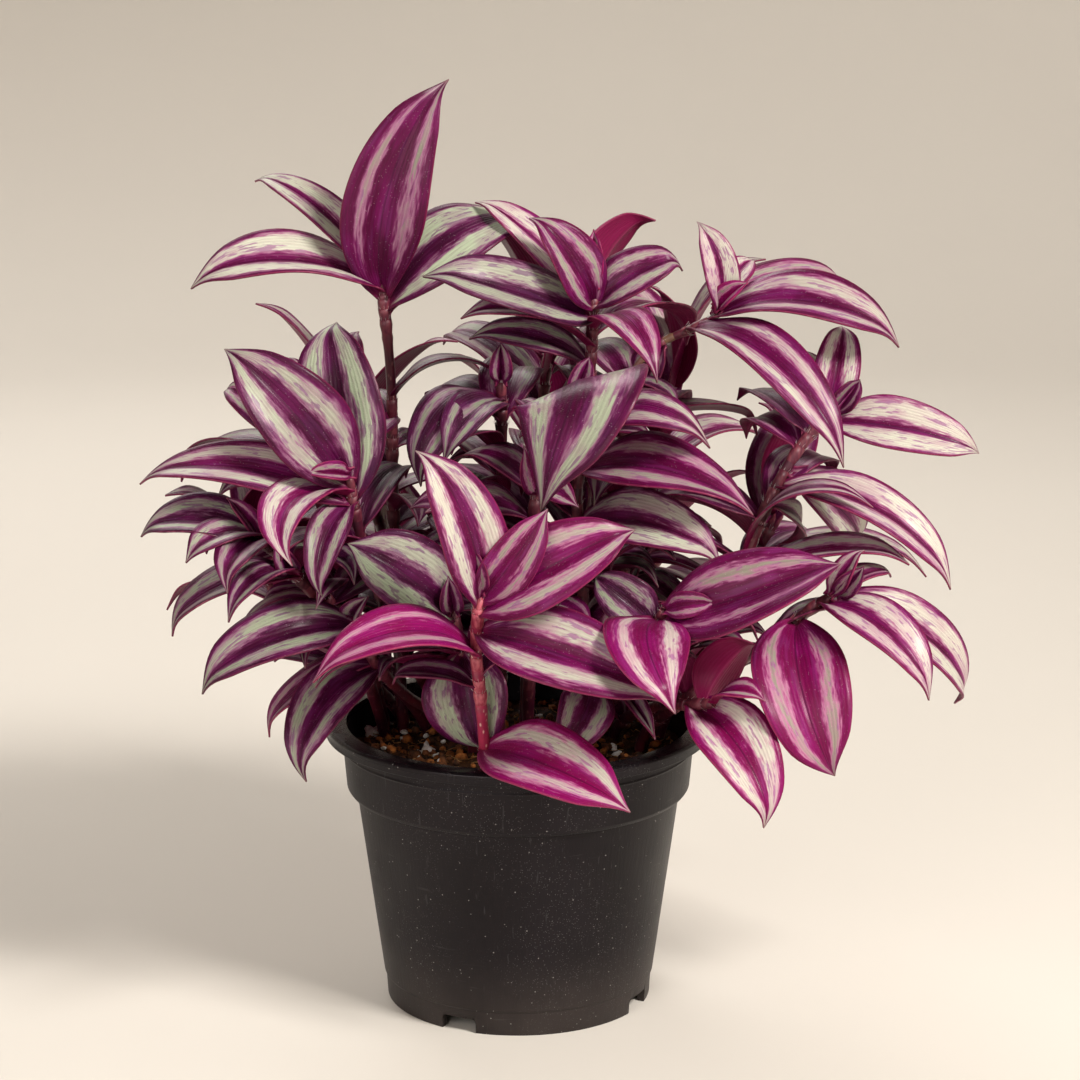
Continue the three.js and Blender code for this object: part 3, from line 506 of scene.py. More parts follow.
def leaf_face():
    """The striped upper side: two ragged silver bands on plum, with violet fringes."""
    face = Finish("leaf_face", 0.34, Coat_Weight=0.1, Coat_Roughness=0.2,
                  Specular_IOR_Level=0.13, Specular_Tint=(1, 0.75, 0.86, 1))
    across, along, off_middle, rosy, pale, own, spread = blade_places(face)
    ragged = face.grain(spread(5, 1.6), 2.2)
    torn = face.grain(spread(34, 16), 1, 3)
    streaks = face.grain(spread(52, 7), 1.6, 3)
    clouds = face.grain(spread(3, 3.4), 1.3)
    patches = face.grain(spread(17, 9), 1.1, 3)
    # The bands' middles lean in to the midrib towards the tip, and the bands widen there.
    band_middle = face.scaled(face.calc("POWER", along, 2), -0.1, 0.56)
    band_width = face.plus(face.scaled(pale, 0.21, 0.025), face.times(along, 0.05))
    band_width = face.minus(band_width, face.step(along, 0, 0.3, 0.17, 0))
    own_half = face.grain(face.join(face.times(face.calc("ROUND", across), 7), own, 0),
                          1.3, 0)
    band_width = face.minus(band_width, face.step(own_half, 0.5, 0.68, 0, 0.07))
    away = face.calc("ABSOLUTE", face.minus(off_middle, band_middle))
    away = face.plus(away, face.scaled(ragged, 0.4, -0.2))
    away = face.plus(away, face.scaled(torn, 0.3, -0.15))
    away = face.plus(away, face.scaled(streaks, 0.07, -0.035))
    past_edge = face.minus(away, band_width)
    silver_share = face.step(past_edge, 0.04, -0.06)
    fringe_share = face.step(past_edge, 0.2, 0)

    # Plum, violet, lilac and the margin grow darker and duller as the leaf's rosy value falls:
    # partly the leaf's own tone, partly painted shade on leaves in shade and painted sunlight on
    # lit ones.
    plum = face.over((0.026, 0.002, 0.0135), (0.072, 0.0015, 0.028), rosy, 0, 0.55)
    plum = face.over(plum, (0.185, 0.0018, 0.06), rosy, 0.5, 1)
    bright = face.mix(rosy, (0.088, 0.006, 0.056), (0.28, 0.004, 0.14))
    plum = face.over(plum, bright, clouds, 0.42, 0.68, 0.5)
    plum = face.over(plum, bright, streaks, 0.45, 0.75, 0.22)
    violet = face.mix(rosy, (0.14, 0.024, 0.096), (0.38, 0.03, 0.21))
    shimmer = face.mix(rosy, (0.12, 0.03, 0.125), (0.33, 0.055, 0.29))
    lilac = face.mix(rosy, (0.22, 0.13, 0.18), (0.54, 0.24, 0.36))
    # Two copies of the silver: a green-grey one as it looks in shade and a brighter cream one as
    # it looks in sunlight, painted shade and painted sunlight chosen by the leaf's rosy value.
    shaded_green_silver = face.over((0.165, 0.2, 0.125), (0.385, 0.46, 0.315), pale, 0.05, 0.9)
    sunlit_cream_silver = face.over((0.23, 0.215, 0.165), (0.61, 0.595, 0.505), pale, 0.05, 0.9)
    silver = face.over(shaded_green_silver, sunlit_cream_silver, rosy, 0.1, 0.7)
    silver = face.over(silver, lilac, clouds, 0.47, 0.66, 0.45)
    silver = face.over(silver, lilac, own_half, 0.5, 0.62, 0.3)
    silver = face.over(silver, shimmer, patches, 0.55, 0.62, 0.65)
    silver = face.over(silver, violet, streaks, 0.42, 0.7, 0.22)
    skin = face.mix(face.times(fringe_share, 0.7), plum, violet)
    skin = face.over(skin, shimmer, ragged, 0.54, 0.66, 0.16)
    skin = face.over(skin, lilac, past_edge, 0.13, 0, 0.75)
    skin = face.mix(face.times(silver_share, 0.95), skin, silver)
    skin = face.over(skin, (0.2, 0.01, 0.065), along, 0.09, 0, 0.75)
    skin = face.over(skin, (0.42, 0.25, 0.23), along, 0.95, 1, 0.4)
    # The midrib is a fine dark line, and the margin a thin rosy one.
    skin = face.over(skin, (0.03, 0.003, 0.018), off_middle, 0.04, 0, 0.6)
    edge = face.mix(rosy, (0.075, 0.006, 0.03), (0.33, 0.022, 0.1))
    skin = face.over(skin, edge, off_middle, 0.94, 1, 0.7)
    veins = face.calc("SINE", face.times(across, 2 * math.pi * 21))
    skin = face.mix(face.scaled(veins, 0.07, 0.07), skin, (0.03, 0.01, 0.024))
    # A few pale specks at the glitter cells are painted glints in the colour; the same cells also
    # vary the gloss and the relief.
    glitter = face.specks(spread(60, 120), 1)
    rare = face.grain(spread(30, 60), 1, 0)
    painted_glints = face.times(face.step(glitter, 0.26, 0.1), face.step(rare, 0.6, 0.66))
    skin = face.mix(face.times(painted_glints, 0.22), skin, (0.85, 0.76, 0.8))
    face.colour(skin)
    face.gloss(face.step(glitter, 0, 0.7, 0.3, 0.44))
    height = face.scaled(veins, 0.35, face.times(glitter, 0.5))
    face.relief(face.plus(height, streaks), 0.00012, 0.7)
    return face.material


def leaf_underside():
    """The plain wine-red underside, with faint lengthwise veins."""
    under = Finish("leaf_underside", 0.42, Specular_IOR_Level=0.15,
                   Specular_Tint=(1, 0.75, 0.86, 1))
    across, _, off_middle, rosy, _, _, spread = blade_places(under)
    streaks = under.grain(spread(34, 2.4), 1.5, 3)
    # The underside is darker on leaves with a low rosy value and brighter on high ones: the leaf's
    # own tone with painted shade and painted sunlight.
    wine = under.mix(rosy, (0.07, 0.002, 0.023), (0.22, 0.003, 0.055))
    wine = under.over(wine, (0.2, 0.012, 0.07), streaks, 0.4, 0.75, 0.5)
    veins = under.calc("SINE", under.times(across, 2 * math.pi * 17))
    wine = under.mix(under.scaled(veins, 0.08, 0.08), wine, (0.05, 0.004, 0.02))
    wine = under.over(wine, (0.28, 0.04, 0.11), off_middle, 0.05, 0, 0.5)
    under.colour(wine)
    under.relief(under.scaled(veins, 0.5, streaks), 0.00012, 0.6)
    return under.material


def leaf_margin():
    """The thin edge of a blade, dull plum on old and shaded leaves and rose on young and sunlit
    ones: its own tone with painted shade and painted sunlight.
    """
    margin = Finish("leaf_margin", 0.5, Specular_IOR_Level=0.25)
    rosy = blade_places(margin)[3]
    tint = margin.mix(rosy, (0.065, 0.006, 0.028), (0.28, 0.022, 0.085))
    flecks = margin.grain(margin.object_place, 420)
    margin.colour(margin.over(tint, (0.42, 0.13, 0.19), flecks, 0.5, 0.7, 0.35))
    return margin.material


def stem_skin(name, dull, bright, fleck, fleck_share):
    """A stem's skin, flecked with pale dashes, darker at the rings of the nodes."""
    skin = Finish(name, 0.38, Coat_Weight=0.12, Coat_Roughness=0.25)
    ring = skin.node("Attribute", attribute_name="ring")["Fac"]
    patches = skin.grain(skin.object_place, 90, 3)
    flecks = skin.specks(skin.stretched(1, 1, 0.42), 620)
    colour = skin.over(dull, bright, patches, 0.35, 0.7)
    colour = skin.over(colour, fleck, flecks, 0.26, 0.1, fleck_share)
    colour = skin.mix(skin.times(ring, 0.4), colour, (0.06, 0.008, 0.025))
    skin.colour(colour)
    skin.relief(skin.plus(patches, skin.step(flecks, 0.3, 0.1)), 0.00015, 0.6)
    return skin.material


def sheath_skin(name, dull, streak):
    """The papery sheath at the foot of each leaf, streaked pink along the stem."""
    skin = Finish(name, 0.5)
    streaks = skin.grain(skin.stretched(1, 1, 0.2), 900, 2)
    skin.colour(skin.over(dull, streak, streaks, 0.35, 0.68))
    skin.relief(streaks, 0.0001, 0.5)
    return skin.material


def fine_hair():
    hair = Finish("fine_hair", 0.55)
    hair.colour(hair.mix(hair.grain(hair.object_place, 500), (0.7, 0.56, 0.58),
                         (0.86, 0.8, 0.78)))
    return hair.material


def pot_plastic():
    """Matte near-black plastic: a fine grain, faint scratches, pale dust and specks."""
    plastic = Finish("pot_plastic", 0.48, Specular_IOR_Level=0.2,
                     Specular_Tint=(1, 0.92, 0.98, 1))
    place = plastic.object_place
    clouds = plastic.grain(place, 26, 4, 0.6)
    grain = plastic.grain(place, 2600, 2)
    scratches = plastic.grain(plastic.stretched(1, 1, 0.045), 900, 2)
    slanted = plastic.grain(plastic.stretched(0.08, 0.08, 1), 760, 2)
    specks = plastic.specks(place, 640)
    dots = plastic.grain(place, 900, 0)
    fine_specks = plastic.specks(place, 1500)
    height = plastic.split(place)[2]
    colour = plastic.over((0.004, 0.003, 0.0038), (0.0082, 0.0062, 0.0076), clouds, 0.3, 0.75)
    colour = plastic.over(colour, (0.08, 0.08, 0.082), scratches, 0.66, 0.78, 0.25)
    colour = plastic.over(colour, (0.085, 0.083, 0.08), slanted, 0.7, 0.8, 0.22)
    dust = plastic.times(plastic.step(specks, 0.17, 0.08), plastic.step(dots, 0.6, 0.65))
    colour = plastic.mix(plastic.times(dust, 0.8), colour, (0.3, 0.285, 0.27))
    fine_dust = plastic.times(plastic.step(fine_specks, 0.2, 0.08),
                             plastic.step(clouds, 0.42, 0.62))
    colour = plastic.mix(plastic.times(fine_dust, 0.6), colour, (0.2, 0.192, 0.185))
    low_dust = plastic.times(plastic.step(height, 0.03, 0, 0, 0.35), clouds)
    colour = plastic.mix(low_dust, colour, (0.13, 0.105, 0.09))
    plastic.colour(colour)
    worn_lip = plastic.step(height, LIP_UNDERSIDE * MM, (LIP_TOP - 1) * MM, 0, 0.24)
    plastic.gloss(plastic.minus(plastic.step(clouds, 0.3, 0.7, 0.4, 0.54), worn_lip))
    plastic.relief(plastic.plus(plastic.times(grain, 0.6), scratches), 0.00008, 0.6)
    return plastic.material


def potting_soil():
    """Dark brown compost with golden-brown coir in it."""
    soil = Finish("potting_soil", 0.9, Specular_IOR_Level=0.25)
    lumps = soil.grain(soil.object_place, 210, 4, 0.7)
    fine = soil.grain(soil.object_place, 900, 3, 0.7)
    colour = soil.over((0.01, 0.005, 0.003), (0.07, 0.026, 0.008), lumps, 0.36, 0.62)
    colour = soil.over(colour, (0.3, 0.12, 0.03), fine, 0.52, 0.72, 0.5)
    soil.colour(colour)
    soil.relief(soil.plus(lumps, fine), 0.0006, 0.9)
    return soil.material


def coir(name, dark, light):
    fibre = Finish(name, 0.85, Specular_IOR_Level=0.3)
    patches = fibre.grain(fibre.object_place, 320, 3, 0.6)
    fibre.colour(fibre.over(dark, light, patches, 0.35, 0.68))
    fibre.relief(patches, 0.0004, 0.8)
    return fibre.material


def perlite_grain():
    """Chalky white grains, pitted and a little soiled."""
    grain = Finish("perlite_grain", 0.85)
    stains = grain.grain(grain.object_place, 330, 3, 0.6)
    pits = grain.specks(grain.object_place, 1500)
    colour = grain.over((0.9, 0.88, 0.84), (0.62, 0.52, 0.42), stains, 0.5, 0.75)
    grain.colour(colour)
    grain.relief(grain.plus(pits, stains), 0.0003, 0.8)
    return grain.material


# ---- pot ----

def pot_profile():
    """Half of the pot's section, from the middle of the underside round to its floor."""
    floor_top = FLOOR_UNDERSIDE + FLOOR_THICKNESS
    ridge = LIP_UNDERSIDE - RIDGE_BELOW_LIP
    ridge_share = (ridge - BAND_BOTTOM) / (LIP_UNDERSIDE - BAND_BOTTOM)
    ridge_radius = BAND_BOTTOM_RADIUS + (BAND_TOP_RADIUS - BAND_BOTTOM_RADIUS) * ridge_share
    return [
        (0, 0), (PAD_RADIUS, 0), (PAD_RADIUS + 1, FLOOR_UNDERSIDE),
        (FOOT_RADIUS - FOOT_WIDTH, FLOOR_UNDERSIDE), (FOOT_RADIUS - FOOT_WIDTH, 0),
        (FOOT_RADIUS, 0), (FOOT_RADIUS + 0.5, STEP_HEIGHT - 0.5),
        (FOOT_RADIUS + 0.5 + STEP_DEPTH, STEP_HEIGHT),
        (BODY_TOP_RADIUS, BODY_TOP), (BAND_BOTTOM_RADIUS - 0.9, BODY_TOP + 0.3),
        (BAND_BOTTOM_RADIUS, BAND_BOTTOM + 0.8),
        (ridge_radius, ridge - 0.45), (ridge_radius + 0.35, ridge), (ridge_radius, ridge + 0.45),
        (BAND_TOP_RADIUS, LIP_UNDERSIDE), (LIP_RADIUS, LIP_UNDERSIDE),
        (LIP_RADIUS, LIP_TOP - 0.7), (LIP_RADIUS - 0.8, LIP_TOP),
        (BAND_TOP_RADIUS - WALL, LIP_TOP),
        (BAND_BOTTOM_RADIUS - WALL + 0.2, BAND_BOTTOM + 2),
        (BODY_TOP_RADIUS - WALL, BODY_TOP - 1.5), (FOOT_RADIUS - 0.2, STEP_HEIGHT + 1.5),
        (FOOT_RADIUS - 2, floor_top), (0, floor_top),
    ]


def cut_away(piece, cutters):
    """Cuts the closed shapes in one bmesh out of a piece for good."""
    bmesh.ops.transform(cutters, matrix=Matrix.Scale(MM, 4), verts=cutters.verts)
    mesh = bpy.data.meshes.new("cutters")
    cutters.to_mesh(mesh)
    cutters.free()
    tool = bpy.data.objects.new("cutters", mesh)
    bpy.context.scene.collection.objects.link(tool)
    cut = piece.modifiers.new("cut", "BOOLEAN")
    cut.operation = "DIFFERENCE"
    cut.solver = "EXACT"
    cut.object = tool
    bpy.context.view_layer.update()
    solved = piece.evaluated_get(bpy.context.evaluated_depsgraph_get())
    result = bpy.data.meshes.new_from_object(solved)
    piece.modifiers.clear()
    piece.data = result
    bpy.data.objects.remove(tool)


def make_pot():
    bm = turned([(radius, 0, height) for radius, height in pot_profile()], POT_TURNS)
    corners = [e for e in bm.edges if len(e.link_faces) == 2
               and e.calc_face_angle(0) > SHARP
               and abs(e.verts[0].co.z - e.verts[1].co.z) < LEVEL]
    bmesh.ops.bevel(bm, geom=corners, offset=CORNER_RADIUS, segments=3, profile=0.5,
                    affect="EDGES", material=-1)
    pot = finish_piece("nursery_pot", bm, [pot_plastic()], "pot")
    cutters = bmesh.new()
    for turn in range(NOTCH_COUNT):
        place = (Matrix.Rotation(math.radians(NOTCH_TURN + 360 * turn / NOTCH_COUNT), 4, "Z")
                 @ Matrix.Translation((FOOT_RADIUS, 0, 0))
                 @ Matrix.Diagonal((NOTCH_DEPTH, NOTCH_WIDTH, 2 * NOTCH_HEIGHT, 1)))
        notch = bmesh.ops.create_cube(cutters, size=1, matrix=place)["verts"]
        upper = [e for e in {e for v in notch for e in v.link_edges}
                 if all(v.co.z > 0 for v in e.verts)
                 and abs(e.calc_length() - NOTCH_DEPTH) < 0.1]
        bmesh.ops.bevel(cutters, geom=upper, offset=NOTCH_CORNER, segments=4, profile=0.5,
                        affect="EDGES", material=-1)
    for turn in range(DRAIN_COUNT):
        place = (Matrix.Rotation(2 * math.pi * turn / DRAIN_COUNT, 4, "Z")
                 @ Matrix.Translation((DRAIN_CIRCLE, 0, FLOOR_UNDERSIDE)))
        bmesh.ops.create_cone(cutters, cap_ends=True, segments=24, radius1=DRAIN_RADIUS,
                              radius2=DRAIN_RADIUS, depth=8, matrix=place)
    cut_away(pot, cutters)


# ---- soil ----

def soil_height(x, y):
    broad = 1.3 * math.sin(x * 0.11 + 1) * math.cos(y * 0.13)
    fine = 0.7 * math.sin(x * 0.41 + y * 0.23) * math.cos(y * 0.37 - x * 0.19)
    return SOIL_LEVEL + broad + fine


def rough_height(x, y):
    """The soil's surface with its crumbly relief."""
    spot = Vector((x, y, 0))
    coarse = noise.fractal(spot * 0.34, 1, 2, 3)
    fine = noise.fractal(spot * 1.1 + Vector((9, 4, 2)), 1, 2, 2)
    fade = smooth_step(SOIL_EDGE, SOIL_EDGE - 3, math.hypot(x, y))
    return soil_height(x, y) + (0.85 * coarse + 0.4 * fine) * fade


def make_soil_body():
    bm = bmesh.new()
    rim = bmesh.ops.create_circle(bm, segments=SOIL_TURNS, radius=SOIL_EDGE)["verts"]
    bmesh.ops.translate(bm, verts=rim, vec=(0, 0, SOIL_LEVEL))
    edges = list({e for v in rim for e in v.link_edges})
    loop, radius = edges, SOIL_EDGE
    for ring in range(1, SOIL_RINGS):
        inner = SOIL_EDGE * (1 - ring / SOIL_RINGS)
        verts, loop, _ = grow_loop(bm, loop)
        bmesh.ops.scale(bm, verts=verts, vec=(inner / radius, inner / radius, 1))
        radius = inner
    bmesh.ops.edgeloop_fill(bm, edges=loop)
    bmesh.ops.poke(bm, faces=[f for f in bm.faces if len(f.verts) > 4])
    for vert in bm.verts:
        vert.co.z = rough_height(vert.co.x, vert.co.y)
    loop, radius = edges, SOIL_EDGE
    floor = FLOOR_UNDERSIDE + FLOOR_THICKNESS + CLEARANCE
    for outer, level in ((BAND_BOTTOM_RADIUS - WALL + 0.2 - CLEARANCE, BAND_BOTTOM + 2),
                         (BODY_TOP_RADIUS - WALL - CLEARANCE, BODY_TOP - 1.5),
                         (FOOT_RADIUS - 0.2 - CLEARANCE, STEP_HEIGHT + 1.5),
                         (FOOT_RADIUS - 2 - CLEARANCE, floor)):
        verts, loop, _ = grow_loop(bm, loop)
        bmesh.ops.scale(bm, verts=verts, vec=(outer / radius, outer / radius, 1))
        for vert in verts:
            vert.co.z = level
        radius = outer
    bmesh.ops.edgeloop_fill(bm, edges=loop)
    bmesh.ops.recalc_face_normals(bm, faces=bm.faces)
    finish_piece("soil_surface", bm, [potting_soil()], "soil")


def add_lump(bm, spot, size, draw, finish, detail=1):
    """A crumb or a grain: a little ball, knocked out of round and turned at random."""
    turn = Matrix.Rotation(draw.uniform(0, 6), 4, (draw.random(), draw.random(), 1))
    shape = Matrix.Diagonal((draw.uniform(0.75, 1.2), draw.uniform(0.75, 1.2),
                             draw.uniform(0.55, 0.95), 1))
    lump = bmesh.ops.create_icosphere(bm, subdivisions=detail, radius=size)["verts"]
    offset = Vector((draw.random() * 50, 0, 0))
    for vert in lump:
        vert.co *= 1 + 0.5 * noise.noise(vert.co * (1.3 / size) + offset)
    bmesh.ops.transform(bm, matrix=Matrix.Translation(spot) @ turn @ shape, verts=lump)
    for face in {f for v in lump for f in v.link_faces}:
        face.material_index = finish


def clear_spot(draw, stems, room, reach):
    """A place on the soil that is clear of the stems and of the pot's wall."""
    while True:
        x, y = draw.uniform(-reach, reach), draw.uniform(-reach, reach)
        feet = (stem.path[1] for stem in stems)
        clear = all(math.hypot(x - foot[0], y - foot[1]) > room for foot in feet)
        if clear and math.hypot(x, y) < reach:
            return x, y


def make_crumbs(stems):
    draw = random.Random(CRUMB_SEED)
    bm = bmesh.new()
    for _ in range(CRUMB_COUNT):
        size = draw.triangular(0.4, 2.3, 0.75)
        x, y = clear_spot(draw, stems, size + 1.8, SOIL_EDGE - size * 0.9 - 0.6)
        spot = Vector((x, y, rough_height(x, y) + size * 0.3))
        add_lump(bm, spot, size, draw, 0 if draw.random() < 0.5 else 1)
    finishes = [coir("coir_lump", (0.125, 0.038, 0.01), (0.58, 0.2, 0.048)),
                coir("bark_lump", (0.03, 0.013, 0.007), (0.21, 0.074, 0.026))]
    finish_piece("soil_crumbs", bm, finishes, "soil")


def lying(spot, heading):
    """A frame at a spot whose Z lies level and points along the heading."""
    return (Matrix.Translation(spot) @ Matrix.Rotation(heading, 4, "Z")
            @ Matrix.Rotation(math.pi / 2, 4, "Y"))


def make_fibres(stems):
    """Short bent coir fibres lying on the crumbs."""
    draw = random.Random(FIBRE_SEED)
    bm = bmesh.new()
    for _ in range(FIBRE_COUNT):
        x, y = clear_spot(draw, stems, 2.4, SOIL_EDGE - 3.5)
        heading, bend = draw.uniform(0, 2 * math.pi), draw.uniform(-0.5, 0.5)
        thick, run = draw.uniform(0.1, 0.22), draw.uniform(0.6, 1.3)
        spot = Vector((x, y, rough_height(x, y) + 0.3))
        frames = [lying(spot, heading)]
        for _ in range(FIBRE_RUNS):
            heading += bend
            spot = spot + Vector((math.cos(heading), math.sin(heading), 0)) * run
            if math.hypot(spot.x, spot.y) > SOIL_EDGE - 1.5:
                break
            spot.z = rough_height(spot.x, spot.y) + draw.uniform(0.2, 0.9)
            frames.append(lying(spot, heading))
        sweep(bm, frames, [thick] * len(frames), 4)
    bmesh.ops.recalc_face_normals(bm, faces=bm.faces)
    finish = coir("coir_fibre", (0.2, 0.085, 0.025), (0.52, 0.29, 0.11))
    finish_piece("soil_fibres", bm, [finish], "soil")


def make_perlite(stems):
    draw = random.Random(PERLITE_SEED)
    bm = bmesh.new()
    for x, y, size in PERLITE_SEEN:
        add_lump(bm, Vector((x, y, rough_height(x, y) + size * 0.4)), size, draw, 0, 2)
    for _ in range(PERLITE_SCATTERED):
        size = draw.uniform(0.7, 1.9)
        x, y = clear_spot(draw, stems, size + 2, SOIL_EDGE - size - 0.8)
        add_lump(bm, Vector((x, y, rough_height(x, y) + size * 0.35)), size, draw, 0, 2)
    finish_piece("perlite_grains", bm, [perlite_grain()], "soil")


# ---- stems ----

def straight_point(path, share):
    """The point at a share of the way along the straight runs of a path."""
    points = [Vector(p) for p in path]
    runs = [(b - a).length for a, b in zip(points, points[1:])]
    left = share * sum(runs)
    for (a, b), run in zip(zip(points, points[1:]), runs):
        if left <= run or b is points[-1]:
            return a.lerp(b, min(left / run, 1))
        left -= run


def smooth_path(path, run=STEM_RUN):
    """The same path with its bends rounded, as evenly spaced points."""
    points = [Vector(p) for p in path]
    ends = [2 * points[0] - points[1], *points, 2 * points[-1] - points[-2]]
    fine = []
    for p0, p1, p2, p3 in zip(ends, ends[1:], ends[2:], ends[3:]):
        count = max(int((p2 - p1).length / run), 1)
        for i in range(count):
            u = i / count
            fine.append(0.5 * (2 * p1 + (p2 - p0) * u + (2 * p0 - 5 * p1 + 4 * p2 - p3) * u * u
                               + (3 * p1 - p0 - 3 * p2 + p3) * u ** 3))
    fine.append(points[-1])
    return fine


def frames_along(points):
    """A frame at each point, its Z along the line, turning no more than the line does."""
    side = Vector((1, 0, 0))
    frames = []
    for i, point in enumerate(points):
        ahead = points[min(i + 1, len(points) - 1)] - points[max(i - 1, 0)]
        ahead.normalize()
        side = (side - ahead * side.dot(ahead)).normalized()
        turn = Matrix((side, ahead.cross(side), ahead)).transposed().to_4x4()
        frames.append(Matrix.Translation(point) @ turn)
    return frames


def stalk_nodes(stem, points):
    """For each leaf, the points where its sheath starts and where it opens."""
    nodes = []
    for row in stem.leaves:
        target = straight_point(stem.path, row[0])
        mouth = min(range(len(points)), key=lambda i: (points[i] - target).length)
        nodes.append((max(mouth - SHEATH_LENGTH // STEM_RUN, 1), mouth))
    return nodes


def add_sheath(bm, frames, radii):
    """A close sleeve round a run of the stem, a little wider at its mouth."""
    last = len(radii) - 1
    swelling = [radius + 0.08 + 0.22 * (k / last) for k, radius in enumerate(radii)]
    sleeve = [radii[0] * 0.8, *swelling[1:], radii[last] + 0.12, radii[last] * 0.7]
    sweep(bm, frames + [frames[last], frames[last]], sleeve, STEM_SIDES, 1)


def add_hairs(bm, mouth, radius, draw):
    """Fine hairs that stand round the mouth of a sheath."""
    root = Matrix.Translation((radius + 0.24, 0, 0))
    for k in range(HAIRS_PER_SHEATH):
        angle = 2 * math.pi * (k + draw.uniform(-0.3, 0.3)) / HAIRS_PER_SHEATH
        tilt = Matrix.Rotation(draw.uniform(0.15, 0.7), 4, "Y")
        length = draw.uniform(*HAIR_LENGTH)
        place = (mouth @ Matrix.Rotation(angle, 4, "Z") @ root @ tilt
                 @ Matrix.Translation((0, 0, length / 2)))
        hair = bmesh.ops.create_cone(bm, cap_ends=True, segments=3, radius1=HAIR_RADIUS,
                                     radius2=0.01, depth=length, matrix=place)["verts"]
        for face in {f for v in hair for f in v.link_faces}:
            face.material_index = 2


def make_stalk(stem, number):
    """The stem with its node rings, and a hairy-mouthed sheath at the foot of each leaf."""
    draw = random.Random(STALK_SEED + number)
    bm = bmesh.new()
    bm.verts.layers.float.new("ring")
    points = smooth_path(stem.path)
    frames = frames_along(points)
    tip_radius = THIN_TIPS.get(stem.name, STEM_TIP_RADIUS)
    nodes = stalk_nodes(stem, points)
    radii, rings = [], []
    for i, point in enumerate(points):
        share = i / (len(points) - 1)
        swell = max((math.exp(-((i - foot) * STEM_RUN / NODE_SPAN) ** 2) for foot, _ in nodes),
                    default=0)
        radii.append(STEM_FOOT_RADIUS + (tip_radius - STEM_FOOT_RADIUS) * share
                     + NODE_SWELL * swell + STEM_WANDER * noise.noise(point * 0.12))
        rings.append(float(any(i == foot for foot, _ in nodes)))
    radii[-1] *= 0.6
    sweep(bm, frames, radii, STEM_SIDES, 0, rings)
    for foot, mouth in nodes:
        if mouth > foot:
            add_sheath(bm, frames[foot:mouth + 1], radii[foot:mouth + 1])
            add_hairs(bm, frames[mouth], radii[mouth], draw)
    bmesh.ops.recalc_face_normals(bm, faces=bm.faces)
    name = stem.name
    skin = STEM_SKINS.get(name, STEM_SKINS["other"])
    sheath = SHEATH_SKINS.get(name, SHEATH_SKINS["other"])
    finish_piece(name + "_stalk", bm, [skin, sheath, FINE_HAIR], name)


# ---- leaves ----

def breadth_share(t, fullness):
    """Half the blade's breadth along it: narrow at the foot, drawn out to the point."""
    if t < WIDEST:
        return 1 - 0.9 * ((WIDEST - t) / WIDEST) ** 2
    u = (t - WIDEST) / (1 - WIDEST)
    return (1 - u ** fullness) * (1 - 0.45 * smooth_step(0.6, 1, u))


def bezier(points, t):
    a, b, c, d = points
    s = 1 - t
    spot = a * s ** 3 + b * (3 * t * s * s) + c * (3 * t * t * s) + d * t ** 3
    way = (b - a) * (3 * s * s) + (c - b) * (6 * t * s) + (d - c) * (3 * t * t)
    return spot, way.normalized()


def blade_arch(foot, leaf, bud):
    """The curve that a leaf follows from its foot to its tip, and the way across it."""
    tip = Vector((leaf.tip_x, leaf.tip_y, leaf.tip_z))
    along = (tip - foot).normalized()
    base = foot + along * ROOT_OFFSET
    chord = tip - base
    face = Vector((leaf.face_x, leaf.face_y, leaf.face_z))
    up = (face - along * face.dot(along)).normalized()
    side = along.cross(up)
    late_rise = leaf.rise * 1.3 + (0 if bud else 0.04 * chord.length)
    arch = [base, base + chord * 0.27 + up * leaf.rise * 1.5 + side * leaf.sway * 1.33,
            base + chord * 0.76 + up * late_rise + side * leaf.sway * 1.33, tip]
    return arch, side


def blade_grid(bm, cells):
    """A flat grid for one leaf, whose UVs keep each place across and along the blade."""
    uv = bm.loops.layers.uv["blade"]
    grid = bmesh.ops.create_grid(bm, x_segments=cells[0], y_segments=cells[1],
                                 size=0.5)["verts"]
    for face in {f for v in grid for f in v.link_faces}:
        for loop in face.loops:
            loop[uv].uv = (loop.vert.co.x + 0.5, loop.vert.co.y + 0.5)
    return grid


